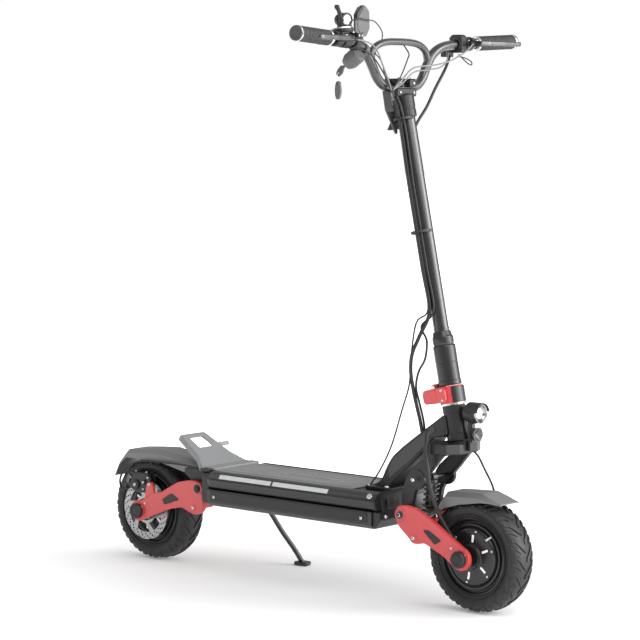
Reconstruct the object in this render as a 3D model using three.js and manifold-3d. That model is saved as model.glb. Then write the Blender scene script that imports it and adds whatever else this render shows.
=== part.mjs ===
// Electric kick scooter in separate pieces. Millimetres, +X forward, +Y to the rider's left, +Z up.
// The origin is on the ground, midway between the axles and in the middle of the width.
import * as THREE from "three";
import { mergeVertices } from "three/addons/utils/BufferGeometryUtils.js";
import Module from "manifold-3d";

const wasm = await Module();
wasm.setup();

// ---------------------------------------------------------------- driving dimensions
const TYRE_R = 127.5; // 10 x 3 inch pneumatic tyre
const TYRE_HALF_W = 37;
const BEAD_R = 86;
const AXLE_X = 501.7; // half the wheelbase
const HUB_HALF_W = 38;
const ROTOR_Y = 49;
const ROTOR_R = 75;
const ARM_IN = 66; // the swingarm plates' inner and outer faces
const ARM_OUT = 78;
const LEG_IN = 44; // fork legs and rear cheeks, inside the swingarm plates
const LEG_OUT = 58;
const RAKE = THREE.MathUtils.degToRad(12);
const STEER_X = 429; // a point on the steering axis, which the raked group has as its origin
const STEER_Z = 424;
const DECK_TOP = 251;
const DECK_BOTTOM = 170;
const DECK_REAR = -243;
const DECK_FRONT = 268;
const RAIL_Y = 88;
const RAIL_Z = 233;
const RAIL_R = 22;
const FRONT_PIVOT = [333, 209];
const REAR_PIVOT = [-297, 203];
const FRONT_SHOCK = { top: [365, 290], bottom: [350, 180] };
const REAR_SHOCK = { top: [-350, 238], bottom: [-316, 160] };
const FOLD_X = -34; // the fold pin, in the raked group
const FOLD_S = 78;
const TUBE_R = 17.5;
const SLEEVE_R = 25.5;
const TUBE_TOP = 735;
const BAR_R = 11.2;
const BAR_X = 264;
const BAR_Z = 1166;
const GRIP_IN = 262;
const GRIP_OUT = 386;
const STAND_PIVOT = [-214, 156];
const GAP = 0.4;

// ---------------------------------------------------------------- materials
const paint = (color, roughness, metalness) =>
  new THREE.MeshStandardMaterial({ color, roughness, metalness });
const blackPaint = paint(0x2b2d2f, 0.5, 0.4);
const blackPlastic = paint(0x1d1e20, 0.6, 0);
const redPaint = paint(0xe5484c, 0.45, 0.2);
const greyPaint = paint(0x8d9092, 0.5, 0.3);
const lightGrey = paint(0xa9abac, 0.5, 0.3);
const rubber = paint(0x232425, 0.85, 0);
const matRubber = paint(0x6d7072, 0.9, 0);
const steel = paint(0xb9bcbe, 0.3, 1);
const lamp = paint(0xe8ecef, 0.15, 0.3);

// ---------------------------------------------------------------- solids
function solidOf(geometry) {
  const bare = geometry.index ? geometry.toNonIndexed() : geometry.clone();
  bare.deleteAttribute("normal");
  bare.deleteAttribute("uv");
  const merged = mergeVertices(bare, 1e-4);
  const index = merged.index.array;
  const tris = [];
  for (let i = 0; i < index.length; i += 3) {
    const [a, b, c] = [index[i], index[i + 1], index[i + 2]];
    if (a !== b && b !== c && c !== a) tris.push(a, b, c);
  }
  const build = (list) =>
    new wasm.Manifold(
      new wasm.Mesh({
        numProp: 3,
        vertProperties: merged.attributes.position.array,
        triVerts: new Uint32Array(list),
      }),
    );
  const made = build(tris);
  return made.volume() < 0 ? build(tris.reverse()) : made;
}

const join = (first, ...rest) => rest.reduce((sum, next) => sum.add(next), first);
const cut = (base, ...tools) => tools.reduce((left, tool) => left.subtract(tool), base);
const both = (make) => join(make(-1), make(1));

// Makes a piece between two distances from the middle plane, on the side given as -1 or 1.
const acrossFrom = (side, near, far, make) => (side < 0 ? make(-far, -near) : make(near, far));

function box(x0, x1, y0, y1, z0, z1) {
  const geometry = new THREE.BoxGeometry(x1 - x0, y1 - y0, z1 - z0);
  geometry.translate((x0 + x1) / 2, (y0 + y1) / 2, (z0 + z1) / 2);
  return solidOf(geometry);
}

// An outline runs anticlockwise, and a hole in it clockwise.
function outline(points, holes = []) {
  const wound = (list, clockwise) => {
    const path = list.map(([a, b]) => new THREE.Vector2(a, b));
    return THREE.ShapeUtils.isClockWise(path) === clockwise ? path : path.reverse();
  };
  const shape = new THREE.Shape(wound(points, false));
  shape.holes = holes.map((hole) => new THREE.Path(wound(hole, true)));
  return shape;
}

const flat = (shape, depth) => new THREE.ExtrudeGeometry(shape, { depth, bevelEnabled: false });

// A plate whose outline is in X and Z, between y0 and y1.
function plateXZ(points, y0, y1, holes = []) {
  const geometry = flat(outline(points, holes), y1 - y0);
  geometry.rotateX(Math.PI / 2);
  geometry.translate(0, y1, 0);
  return solidOf(geometry);
}

// A bar whose section is in Y and Z, between x0 and x1.
function barYZ(points, x0, x1, holes = []) {
  const geometry = flat(outline(points, holes), x1 - x0);
  const turn = new THREE.Matrix4().makeBasis(
    new THREE.Vector3(0, 1, 0),
    new THREE.Vector3(0, 0, 1),
    new THREE.Vector3(1, 0, 0),
  );
  geometry.applyMatrix4(turn);
  geometry.translate(x0, 0, 0);
  return solidOf(geometry);
}

// A slab whose outline is in X and Y, between z0 and z1.
function slabXY(points, z0, z1, holes = []) {
  const geometry = flat(outline(points, holes), z1 - z0);
  geometry.translate(0, 0, z0);
  return solidOf(geometry);
}

// A solid of revolution about the line from `at` along `dir`; the profile is [radius, height] pairs.
function turned(profile, at, dir, segments = 16) {
  const geometry = new THREE.LatheGeometry(profile.map(([r, h]) => new THREE.Vector2(r, h)), segments);
  const turn = new THREE.Quaternion().setFromUnitVectors(
    new THREE.Vector3(0, 1, 0),
    new THREE.Vector3(...dir).normalize(),
  );
  geometry.applyQuaternion(turn);
  geometry.translate(...at);
  return solidOf(geometry);
}

const ringProfile = (inner, outer, h0, h1) => [
  [inner, h0],
  [outer, h0],
  [outer, h1],
  [inner, h1],
  [inner, h0],
];
const rodProfile = (radius, h0, h1) => [
  [0, h0],
  [radius, h0],
  [radius, h1],
  [0, h1],
];

function rod(a, b, radius, segments = 10) {
  const from = new THREE.Vector3(...a);
  const along = new THREE.Vector3(...b).sub(from);
  return turned(rodProfile(radius, 0, along.length()), a, along.toArray(), segments);
}

// A pin or hole across the scooter, at [x, z].
const cross = ([x, z], radius, y0, y1, segments = 10) => rod([x, y0, z], [x, y1, z], radius, segments);

// A bent round bar or cable through the points.
function tube(points, radius, sides, steps) {
  const path = new THREE.CatmullRomCurve3(points.map((p) => new THREE.Vector3(...p)), false, "centripetal");
  const section = new THREE.Shape();
  for (let i = 0; i < sides; i += 1) {
    const angle = (2 * Math.PI * i) / sides;
    const corner = [radius * Math.cos(angle), radius * Math.sin(angle)];
    if (i === 0) section.moveTo(...corner);
    else section.lineTo(...corner);
  }
  return solidOf(new THREE.ExtrudeGeometry(section, { extrudePath: path, steps, bevelEnabled: false }));
}

function arc([cx, cz], radius, fromDeg, toDeg, count) {
  const points = [];
  for (let i = 0; i <= count; i += 1) {
    const angle = THREE.MathUtils.degToRad(fromDeg + ((toDeg - fromDeg) * i) / count);
    points.push([cx + radius * Math.cos(angle), cz + radius * Math.sin(angle)]);
  }
  return points;
}

const scooter = new THREE.Group();
const raked = new THREE.Group(); // its Z axis is the steering axis
raked.position.set(STEER_X, 0, STEER_Z);
raked.rotation.y = -RAKE;
scooter.add(raked);
raked.updateMatrix();
const rakedInverse = raked.matrix.clone().invert().elements;

function put(name, solid, material, group = scooter) {
  const made = solid.getMesh();
  const geometry = new THREE.BufferGeometry();
  geometry.setAttribute("position", new THREE.BufferAttribute(new Float32Array(made.vertProperties), 3));
  geometry.setIndex(new THREE.BufferAttribute(new Uint32Array(made.triVerts), 1));
  geometry.computeVertexNormals();
  const mesh = new THREE.Mesh(geometry, material);
  mesh.name = name;
  group.add(mesh);
}

// A point on the stem's centre line at a height above the ground, moved by dx along X.
const stemAt = (z, dx, y) => [STEER_X - Math.tan(RAKE) * (z - STEER_Z) + dx, y, z];

// ---------------------------------------------------------------- deck
function makeDeck() {
  const outer = [
    [-86, DECK_TOP], [-86, 211], [-102, 211], [-102, 180], [-92, DECK_BOTTOM],
    [92, DECK_BOTTOM], [102, 180], [102, 211], [86, 211], [86, DECK_TOP],
  ];
  const inner = [
    [-81, 246], [-81, 206], [-97, 206], [-97, 182], [-90, 175],
    [90, 175], [97, 182], [97, 206], [81, 206], [81, 246],
  ];
  const ear = plateXZ([[-228, 171], [-200, 171], [-203, 150], [-214, 145], [-225, 150]], 46, 57);
  const standPin = cross(STAND_PIVOT, 4, 50, 86);
  put("deck_shell", join(barYZ(outer, DECK_REAR, DECK_FRONT, [inner]), ear, standPin), blackPaint);

  const mat = [
    [-238, -76], [-232, -82], [180, -82], [190, -72], [190, 72], [180, 82], [-232, 82], [-238, 76],
  ];
  put("grip_mat", slabXY(mat, DECK_TOP + GAP, DECK_TOP + 3.5), matRubber);
  put("battery_pack", box(-140, 215, -74, 74, 179, 240), blackPlastic);
  put("motor_controller", box(-228, -156, -60, 60, 179, 222), greyPaint);

  for (const [side, name] of [[-1, "right"], [1, "left"]]) {
    const inside = RAIL_Y - 86 - GAP;
    const half = arc([0, 0], RAIL_R, -90, 90, 12).map(([a, b]) => [side * (RAIL_Y + a), RAIL_Z + b]);
    half.push([side * (RAIL_Y - inside), RAIL_Z + RAIL_R]);
    half.push([side * (RAIL_Y - inside), RAIL_Z - RAIL_R + 0.5]);
    put("side_rail_" + name, barYZ(half, -240, 283), blackPaint);
  }
}

// ---------------------------------------------------------------- neck and headset
function makeNeck() {
  const arm = [
    [196, 251.6], [236, 272], [251, 304], [268, 330], [302, 358], [350, 392], [396, 424],
    [430, 452], [452, 380], [418, 384], [385, 383], [372, 361], [320, 312], [282, 281],
    [266, 262], [264, 251.6],
  ];
  const face = DECK_FRONT + GAP; // the cast nose closes the deck's front end
  const chin = [[face, 174], [276, 174], [290, 192], [289, 210.5], [face, 210.5]];
  const brow = [[face, 200], [289, 200], [288, 214], [280, 250], [278, 255], [face, 255]];
  const armPlate = plateXZ(arm, -30, 30);
  const foot = box(200, 276, -46, 46, 251.6, 259);
  const axis = [Math.sin(-RAKE), 0, Math.cos(RAKE)];
  const at = [STEER_X, 0, STEER_Z];
  const headTube = turned(rodProfile(26, -46, 34), at, axis);
  const clearances = [
    turned(rodProfile(60, -100, -46), at, axis),
    turned(rodProfile(60, 34, 90), at, axis),
    turned(rodProfile(17.5, -60, 60), at, axis),
    turned(rodProfile(20, -47, -34), at, axis),
    turned(rodProfile(20, 22, 35), at, axis),
  ];
  const casting = join(armPlate, foot, plateXZ(chin, -98, 98), plateXZ(brow, -85, 85), headTube);
  put("neck", cut(casting, ...clearances), blackPaint);
  const lower = ringProfile(15.4, 19.6, -46, -34.4);
  put("headset_bearing_lower", turned(lower, [0, 0, 0], [0, 0, 1]), steel, raked);
  const upper = [
    [15.4, 22.4], [19.6, 22.4], [19.6, 34.4], [26, 34.4], [26, 36.8], [15.4, 36.8], [15.4, 22.4],
  ];
  put("headset_bearing_upper", turned(upper, [0, 0, 0], [0, 0, 1]), steel, raked);
}

// ---------------------------------------------------------------- rear bracket, kickplate and fender
function makeRearBracket() {
  const end = box(-268, DECK_REAR - GAP, -94, 94, 173, DECK_TOP);
  const cheek = [
    [-267, DECK_TOP - 1], [-306, 249], [-360, 247], [-361, 232], [-350, 226], [-312, 203],
    ...arc(REAR_PIVOT, 13, 180, 300, 6), [-267, 180],
  ];
  const cheeks = both((side) => acrossFrom(side, LEG_IN, LEG_OUT, (y0, y1) => plateXZ(cheek, y0, y1)));
  const pivot = both((side) => acrossFrom(side, LEG_IN + 4, 84, (y0, y1) => cross(REAR_PIVOT, 6, y0, y1)));
  const heads = both((side) => cross(REAR_PIVOT, 9, side < 0 ? -85 : 79, side < 0 ? -79 : 85));
  const shockPin = cross(REAR_SHOCK.top, 4, -LEG_IN - 5, LEG_IN + 5);
  put("rear_bracket", join(end, cheeks, pivot, heads, shockPin), blackPaint);
}

function makeKickplate() {
  const length = 126;
  const tilt = Math.atan2(64, 108);
  const low = 78;
  const high = 42;
  const plan = [[0, -low], [40, -56], [length, -high], [length, high], [40, 56], [0, low]];
  const window = [[70, -24], [112, -24], [112, 24], [70, 24]];
  const rise = slabXY(plan, -4, 0, [window]);
  const flanges = both((side) => {
    const strip = [[0, side * low], [40, side * 56], [length, side * high]];
    const inside = [[length, side * (high - 4)], [40, side * 52], [0, side * (low - 4)]];
    return slabXY([...strip, ...inside], -15, -1);
  });
  const slope = (solid) => solid.rotate([0, (-tilt * 180) / Math.PI, 180]).translate([-280, 0, 258.7]);
  const base = box(-284, -240, -low, low, 254.8, 258.7);
  const clear = box(-300, -240, -90, 90, 220, 254.8);
  const tie = cross([-354, 293], 5, 44, 92, 12);
  put("kickplate", cut(join(slope(join(rise, flanges)), base, tie), clear), lightGrey);
}

function makeRearFender() {
  const top = [[-268, 254.4], [-304, 254.4], [-461, 279], [-576, 270], [-621, 202]];
  const under = [[-618, 201], [-573.5, 267], [-461, 275.8], [-304, 251.6], [-268, 251.6]];
  const skirt = [[-395, 262], [-461, 276], [-574, 268], [-619, 202], [-606, 198], [-566, 238], [-461, 250]];
  const sheet = plateXZ([...top, ...under], -44, 44);
  const sides = both((side) => plateXZ(skirt, side < 0 ? -44 : 41, side < 0 ? -41 : 44));
  put("rear_fender", join(sheet, sides), greyPaint);
}

// ---------------------------------------------------------------- swingarms and axles
function swingarm({ plate, slot, pivot, bridge, pin, axleX, prong }) {
  const holes = both((side) => cross(pivot, 6.5, side * 60, side * 90));
  const axle = both((side) => cross([axleX, TYRE_R], 8.4, side * 60, side * 90));
  const plates = both((side) => {
    const [y0, y1] = side < 0 ? [-ARM_OUT, -ARM_IN] : [ARM_IN, ARM_OUT];
    const blade = plateXZ(plate, y0, y1, [slot]);
    return prong && side < 0 ? blade.add(plateXZ(prong, y0, y1)) : blade;
  });
  const [x0, x1, z0, z1] = bridge;
  const whole = box(x0, x1, -ARM_IN - 2, ARM_IN + 2, z0, z1);
  const bar = cut(whole, box(x0 - 5, x1 + 5, -12, 12, z0 - 5, z1 + 5));
  return cut(join(plates, bar, cross(pin, 4, -14, 14)), holes, axle);
}

function makeFrontSwingarm() {
  const axle = [AXLE_X, TYRE_R];
  const plate = [
    [323, 228], [349, 232], [371, 228], [393, 220], [437, 197], [473, 174],
    ...arc(axle, 26, 70, -130, 10), [453, 130], [420, 144], [400, 152], [383, 147], [367, 148],
    [359, 157], [341, 171], [328, 182], [320, 194],
  ];
  const slot = [[396, 181], [413, 183], [450, 163], [430, 152]];
  const parts = {
    plate, slot, pivot: FRONT_PIVOT, bridge: [341, 363, 169, 191], pin: FRONT_SHOCK.bottom, axleX: AXLE_X,
  };
  put("front_swingarm", swingarm(parts), redPaint);
}

function makeRearSwingarm() {
  const axle = [-AXLE_X, TYRE_R];
  const plate = [
    [-302, 221], [-330, 220], [-364, 213], [-385, 202], [-424, 181], [-445, 178],
    ...arc(axle, 26, 75, 310, 12), [-456, 118], [-430, 129], [-396, 142], [-351, 152], [-326, 142],
    [-305, 138], [-287, 144], [-277, 157], [-282, 182], [-284, 206],
  ];
  const slot = [[-419, 164], [-385, 183], [-359, 170], [-411, 152]];
  const prong = [[-445, 174], [-456, 202], [-472, 201], [-482, 160], [-450, 158]];
  const bridge = [-330, -306, 149, 171];
  const parts = { plate, slot, pivot: REAR_PIVOT, bridge, pin: REAR_SHOCK.bottom, axleX: -AXLE_X, prong };
  put("rear_swingarm", swingarm(parts), redPaint);
}

// The axle stays still in the swingarm; its caps stand outside the plates.
function makeAxle(name, x) {
  const shaft = cross([x, TYRE_R], 8, -86, 86);
  const caps = both((side) => cross([x, TYRE_R], 17, side < 0 ? -84 : 78.4, side < 0 ? -78.4 : 84));
  put(name, join(shaft, caps), steel);
}

// ---------------------------------------------------------------- wheels
function makeWheel(name, x, rotorSide) {
  const at = [x, 0, TYRE_R];
  const dir = [0, 1, 0];
  const w = TYRE_HALF_W;
  const tyre = [
    [BEAD_R, -28], [98, -35], [109, -w], [119, -31], [TYRE_R, -15],
    [TYRE_R, 15], [119, 31], [109, w], [98, 35], [BEAD_R, 28], [BEAD_R, -28],
  ];
  put(name + "_tyre", turned(tyre, at, dir, 28), rubber);
  const h = HUB_HALF_W;
  const hub = [
    [8.6, -h - 8], [26, -h - 8], [28, -h], [62, -h + 2], [68, -28], [85.6, -27],
    [85.6, 27], [68, 28], [62, h - 2], [28, h], [26, h + 8], [8.6, h + 8], [8.6, -h - 8],
  ];
  put(name + "_motor", turned(hub, at, dir, 28), blackPaint);
  const y = rotorSide * ROTOR_Y;
  let disc = turned(ringProfile(27, ROTOR_R, -1.1, 1.1), [x, y, TYRE_R], dir, 20);
  for (let i = 0; i < 6; i += 1) {
    const angle = (i * Math.PI) / 3;
    const hole = [x + 46 * Math.cos(angle), TYRE_R + 46 * Math.sin(angle)];
    disc = disc.subtract(cross(hole, 10, y - 3, y + 3, 6));
  }
  const collar = turned(ringProfile(9, 28, -2.4, 2.4), [x, y, TYRE_R], dir, 12);
  put(name + "_rotor", disc.add(collar), steel);
}

// A caliper around the rim of the rotor, with a slot for the disc.
function makeCaliper(name, x, side) {
  const body = [[-60, 66], [-34, 92], [18, 92], [31, 80], [20, 48], [-12, 40], [-34, 48]];
  const points = body.map(([a, b]) => [x + a, TYRE_R + b]);
  const [y0, y1] = side < 0 ? [-63.5, -42.5] : [42.5, 63.5];
  const slot = turned(rodProfile(ROTOR_R + 5, -3, 3), [x, side * ROTOR_Y, TYRE_R], [0, 1, 0], 24);
  put(name, cut(plateXZ(points, y0, y1), slot), blackPaint);
}

// ---------------------------------------------------------------- shocks
function makeShock(name, { top, bottom }) {
  const down = new THREE.Vector3(bottom[0] - top[0], 0, bottom[1] - top[1]);
  const length = down.length();
  const dir = down.normalize().toArray();
  const at = [top[0], 0, top[1]];
  const upper = join(
    cross(top, 9, -8, 8),
    turned(rodProfile(11.5, 6, length - 38), at, dir, 10),
    turned(rodProfile(18, 12, 15), at, dir, 12),
  );
  const bore = turned(rodProfile(7.5, 22, length), at, dir, 10);
  put(name + "_shock_upper", cut(upper, cross(top, 4.5, -9, 9), bore), steel);
  const lower = join(
    cross(bottom, 9, -8, 8),
    turned(rodProfile(5, 34, length - 6), at, dir, 12),
    turned(rodProfile(18, length - 22, length - 19), at, dir, 12),
  );
  put(name + "_shock_lower", cut(lower, cross(bottom, 4.5, -9, 9)), steel);
  put(name + "_spring", turned(ringProfile(13, 17.5, 15.4, length - 22.4), at, dir, 10), redPaint);
}

// ---------------------------------------------------------------- fork, front fender and headlight
function makeFork() {
  const leg = [
    [464, 377], [404, 377], [386, 345], [345, 310], [330, 285], [322, 262], [320, 214],
    ...arc(FRONT_PIVOT, 13, 190, 350, 6), [352, 240], [356, 258], [369, 276], [402, 310],
    [436, 349], [465, 352],
  ];
  const legs = both((side) => acrossFrom(side, LEG_IN, LEG_OUT, (y0, y1) => plateXZ(leg, y0, y1)));
  const axis = [Math.sin(-RAKE), 0, Math.cos(RAKE)];
  const at = [STEER_X, 0, STEER_Z];
  const crown = plateXZ([[400, 352], [408, 384], [465, 384], [465, 352]], -LEG_OUT, LEG_OUT);
  const corners = both((side) => {
    const [near, far] = [side * 30, side * 90];
    const taper = [[440, side * 60], [466, near], [500, near], [500, far], [440, far]];
    return slabXY(taper, 330, 400);
  });
  const above = turned(rodProfile(90, -48.4, 20), at, axis, 10);
  const steerer = turned(rodProfile(15, -60, 74), at, axis);
  const pivot = both((side) => acrossFrom(side, LEG_IN + 4, 84, (y0, y1) => cross(FRONT_PIVOT, 6, y0, y1)));
  const heads = both((side) => cross(FRONT_PIVOT, 9, side < 0 ? -85 : 79, side < 0 ? -79 : 85));
  const shockPin = cross(FRONT_SHOCK.top, 4, -LEG_IN - 5, LEG_IN + 5);
  put("fork", join(cut(join(crown, legs), above, corners), steerer, pivot, heads, shockPin), blackPaint);
}

function makeFrontFender() {
  const top = [[364, 194], [404, 222], [430, 266], [526, 271], [580, 252]];
  const under = [[579, 249], [525.5, 268], [432, 263], [406.5, 220], [366, 191.5]];
  const skirt = [
    [410, 212], [404, 222], [431, 264], [525, 269], [576, 252], [560, 240], [500, 250], [440, 240],
  ];
  const sheet = plateXZ([...top, ...under], -42, 42);
  const sides = both((side) => plateXZ(skirt, side < 0 ? -42 : 39, side < 0 ? -39 : 42));
  const shockGap = box(360, 398, -23, 23, 185, 230);
  put("front_fender", cut(join(sheet, sides), shockGap), greyPaint);
}

function makeHeadlight() {
  const shell = [[0, 453], [14, 455], [21, 465], [22.5, 471], [22.5, 498], [19, 498], [19, 494], [0, 494]];
  const body = turned(shell, [0, 0, 444], [1, 0, 0], 24);
  const stay = plateXZ([[468, 358], [477, 358], [477, 428], [468, 428]], -9, 9);
  const hood = turned(ringProfile(22.5, 24, 469, 505), [0, 0, 444], [1, 0, 0], 24);
  const visor = cut(hood, box(461, 511, -30, 30, 415, 452));
  put("headlight", join(body, stay, visor), lamp);
}

// ---------------------------------------------------------------- fold joint
function makeFoldBase() {
  const barrel = turned(rodProfile(29, 37.4, FOLD_S), [0, 0, 0], [0, 0, 1]);
  const ears = both((side) => {
    const [y0, y1] = side < 0 ? [-18, -8.4] : [8.4, 18];
    const ear = [[-20, 56], [-38, 60], ...arc([FOLD_X, FOLD_S], 9, 200, 0, 8), [-20, 77.8]];
    return plateXZ(ear, y0, y1);
  });
  const bore = turned(rodProfile(15.4, 30, 75), [0, 0, 0], [0, 0, 1]);
  const knuckle = cross([FOLD_X, FOLD_S], 10, -8, 8);
  const pinHole = cross([FOLD_X, FOLD_S], 4.3, -30, 30);
  const topClear = box(-28, 30, -30, 30, FOLD_S, 120);
  put("fold_base", cut(join(barrel, ears), bore, knuckle, pinHole, topClear), redPaint, raked);
  put("fold_pin", cross([FOLD_X, FOLD_S], 4, -21, 21), steel, raked);
  const lever = [[6, 42], [10, 48], [10, 70], [5, 76], [-50, 76], [-62, 70], [-62, 50], [-56, 44]];
  put("clamp_lever", plateXZ(lever, -38, -31), redPaint, raked);
}

// ---------------------------------------------------------------- stem
function makeStem() {
  const base = FOLD_S + 0.6;
  const profile = [
    [TUBE_R + GAP, 118], [TUBE_R + GAP, 201], [19.5, 201], [22, 190], [24, 186], [24, 174], [22.5, 170],
    [SLEEVE_R, 166], [SLEEVE_R, base], [0, base], [0, 118], [TUBE_R + GAP, 118],
  ];
  const sleeve = turned(profile, [0, 0, 0], [0, 0, 1]);
  const knuckle = [...arc([FOLD_X, FOLD_S], 9, 0, -270, 12), [-20, FOLD_S + 9], [-20, base]];
  const tongue = cut(plateXZ(knuckle, -7.4, 7.4), cross([FOLD_X, FOLD_S], 4.4, -30, 30));
  put("stem_sleeve", join(sleeve, tongue), blackPaint, raked);
  const post = turned(ringProfile(14.5, TUBE_R, 118.4, TUBE_TOP), [0, 0, 0], [0, 0, 1]);
  put("stem_tube", post, blackPaint, raked);
}

function toRaked([x, y, z]) {
  const e = rakedInverse;
  return [e[0] * x + e[8] * z + e[12], y, e[2] * x + e[10] * z + e[14]];
}

function makeBarClamp() {
  const at = [STEER_X, 0, STEER_Z];
  const axis = [Math.sin(-RAKE), 0, Math.cos(RAKE)];
  const socket = turned(rodProfile(22, 690, TUBE_TOP + 6), at, axis);
  const block = box(244, 285, -34, 34, 1146, 1186);
  const [sx, , ss] = toRaked([BAR_X, 0, BAR_Z]);
  const wedge = [[-38, ss + 18], [-40, 712], [-18, 664], [18, 664], [40, 712], [38, ss + 18]];
  const back = barYZ(wedge, sx - 17 - 4, sx - 17).rotate([0, -12, 0]).translate(at);
  const claw = [[262, 1072], [229, 1069], [236, 1082], [244, 1100], [246, 1146], [262, 1146]];
  const hook = plateXZ(claw, -4, 4);
  const tubeHole = turned(rodProfile(TUBE_R + GAP, 600, TUBE_TOP + GAP), at, axis);
  const barHole = cross([BAR_X, BAR_Z], BAR_R + 1, -60, 60, 16);
  put("bar_clamp", cut(join(socket, block, back, hook), tubeHole, barHole), greyPaint);
}

// ---------------------------------------------------------------- handlebar and controls
function makeHandlebar() {
  const half = [
    [BAR_X, 0, BAR_Z], [BAR_X, 22, BAR_Z], [BAR_X, 40, BAR_Z], [264, 62, 1171], [263, 82, 1188],
    [262, 98, 1214], [262, 120, 1242], [265, 150, 1259], [269, 200, 1267], [282, 300, 1273],
    [292, GRIP_OUT - 4, 1277],
  ];
  const sides = both((side) => tube(half.map(([x, y, z]) => [x, side * y, z]), BAR_R, 8, 16));
  const middle = cross([BAR_X, BAR_Z], BAR_R, -36, 36, 8);
  const arch = [
    [262, -103, 1222], [262, -92, 1250], [263, -58, 1265], [264, 0, 1268], [263, 58, 1265],
    [262, 92, 1250], [262, 103, 1222],
  ];
  put("handlebar", join(sides, middle, tube(arch, 8.5, 8, 10)), blackPaint);
}

// A collar or barrel around the handlebar between two distances from the middle.
function onBar(side, y0, y1, inner, outer, segments = 12) {
  const xAt = (y) => 269 + ((y - 200) * 23) / 182;
  const zAt = (y) => 1267 + ((y - 200) * 10) / 182;
  const from = [xAt(y0), side * y0, zAt(y0)];
  const along = [xAt(y1) - xAt(y0), side * (y1 - y0), zAt(y1) - zAt(y0)];
  const length = Math.hypot(...along);
  return turned(ringProfile(inner, outer, 0, length), from, along, segments);
}

function makeControls() {
  for (const [side, name] of [[-1, "right"], [1, "left"]]) {
    const grip = onBar(side, GRIP_IN, GRIP_OUT, BAR_R + 1.2, 17);
    const end = onBar(side, GRIP_OUT - 0.5, GRIP_OUT + 3, 0.001, 17);
    put("grip_" + name, join(grip, end), rubber);
    const horn = box(282, 312, side * 233 - 10, side * 233 + 10, 1262, 1276);
    const perch = join(onBar(side, 222, 244, BAR_R + 1.2, 17), horn);
    put("brake_perch_" + name, cut(perch, onBar(side, 215, 250, 0.001, BAR_R + 1.2)), blackPaint);
    const blade = [
      [314, 226], [322, 226], [330, 250], [337, 300], [340, 358], [333, 360], [329, 302], [318, 246],
    ];
    const outlineXY = blade.map(([x, y]) => [x, side * y]);
    put("brake_lever_" + name, slabXY(outlineXY, 1264, 1276), blackPaint);
  }
  const display = join(
    onBar(-1, 190, 214, BAR_R + 1.2, 17),
    turned([[0, 0], [25, 0], [27, 4], [25, 12], [0, 12]], [258, -196, 1281], [-0.2, 0, 1], 16),
    box(250, 276, -210, -190, 1270, 1288),
  );
  put("display", cut(display, onBar(-1, 176, 218, 0.001, BAR_R + 1.2)), blackPlastic);
  const paddle = [[-14, 0], [14, 0], [12, 26], [2, 32], [-12, 24]];
  const trigger = slabXY(paddle.map(([a, b]) => [236 - b, -214 + a]), 1258, 1264);
  put("throttle_trigger", trigger, blackPlastic);

  const lockProfile = [[0, 0], [17, 0], [19, 4], [19, 34], [14, 42], [0, 42]];
  const lock = turned(lockProfile, [276, -157, 1240], [-0.8, -0.05, -0.55], 16);
  put("lock_housing", cut(lock, tubeAround()), blackPlastic);
  const bow = [
    [239.6, 1212.2], [236.6, 1216.6], [230, 1212], [226, 1214], [215, 1204], [211, 1194], [219, 1188],
    [229, 1196], [233, 1207.5],
  ];
  const key = plateXZ(bow, -161, -158);
  put("ignition_key", key, steel);
  const tag = [[217, 1180], [224, 1174], [225, 1148], [218, 1138], [210, 1140], [208, 1172]];
  put("key_fob", plateXZ(tag, -163, -156), greyPaint);

  const barLamp = join(
    turned([[0, 0], [12, 2], [15, 10], [15, 30], [0, 30]], [218, -164, 1314], [1, -0.1, -0.05], 16),
    rod([236, -165, 1302], [264, -164, 1277], 5, 8),
    saddle(-164, 10),
  );
  put("bar_lamp", barLamp, lamp);
  const pad = [
    [-140, 1276], [-150, 1290], [-150, 1326], [-138, 1342], [-116, 1346], [-102, 1334], [-100, 1296],
    [-112, 1278],
  ];
  const holder = join(
    barYZ(pad, 252, 258),
    rod([255, -133, 1284], [262, -130, 1265.5], 4, 8),
    saddle(-132, 10),
  );
  put("phone_holder", holder, greyPaint);

  const switchBox = join(box(252, 288, 196, 216, 1248, 1290), box(246, 262, 170, 200, 1238, 1254));
  const well = rod([240, 206, 1262], [257, 206, 1262], 5.8, 12);
  const barWay = join(onBar(1, 150, 218, 0.001, BAR_R + 1.2), tubeAround());
  put("switch_box", cut(switchBox, well, barWay), blackPlastic);
  put("horn_button", rod([253.5, 206, 1262], [245, 206, 1262], 5, 12), redPaint);
}

// The bent stretch of the handlebar with running clearance, for cutting pieces that clamp on it.
function tubeAround() {
  const half = [[262, 98, 1214], [262, 120, 1242], [265, 150, 1259], [269, 200, 1267], [282, 300, 1273]];
  return both((side) => tube(half.map(([x, y, z]) => [x, side * y, z]), BAR_R + 1.4, 8, 12));
}

// A strap saddle over the top of the handlebar's bend, at a distance from the middle.
function saddle(y, width) {
  const reach = Math.abs(y) - 120;
  const middle = [262 + 0.1 * reach, 1243 + 0.5 * Math.min(reach, 36)];
  const strap = cross(middle, 18, y - width / 2, y + width / 2, 16);
  return cut(strap, box(200, 320, -400, 400, 1100, middle[1]), tubeAround());
}

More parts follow.
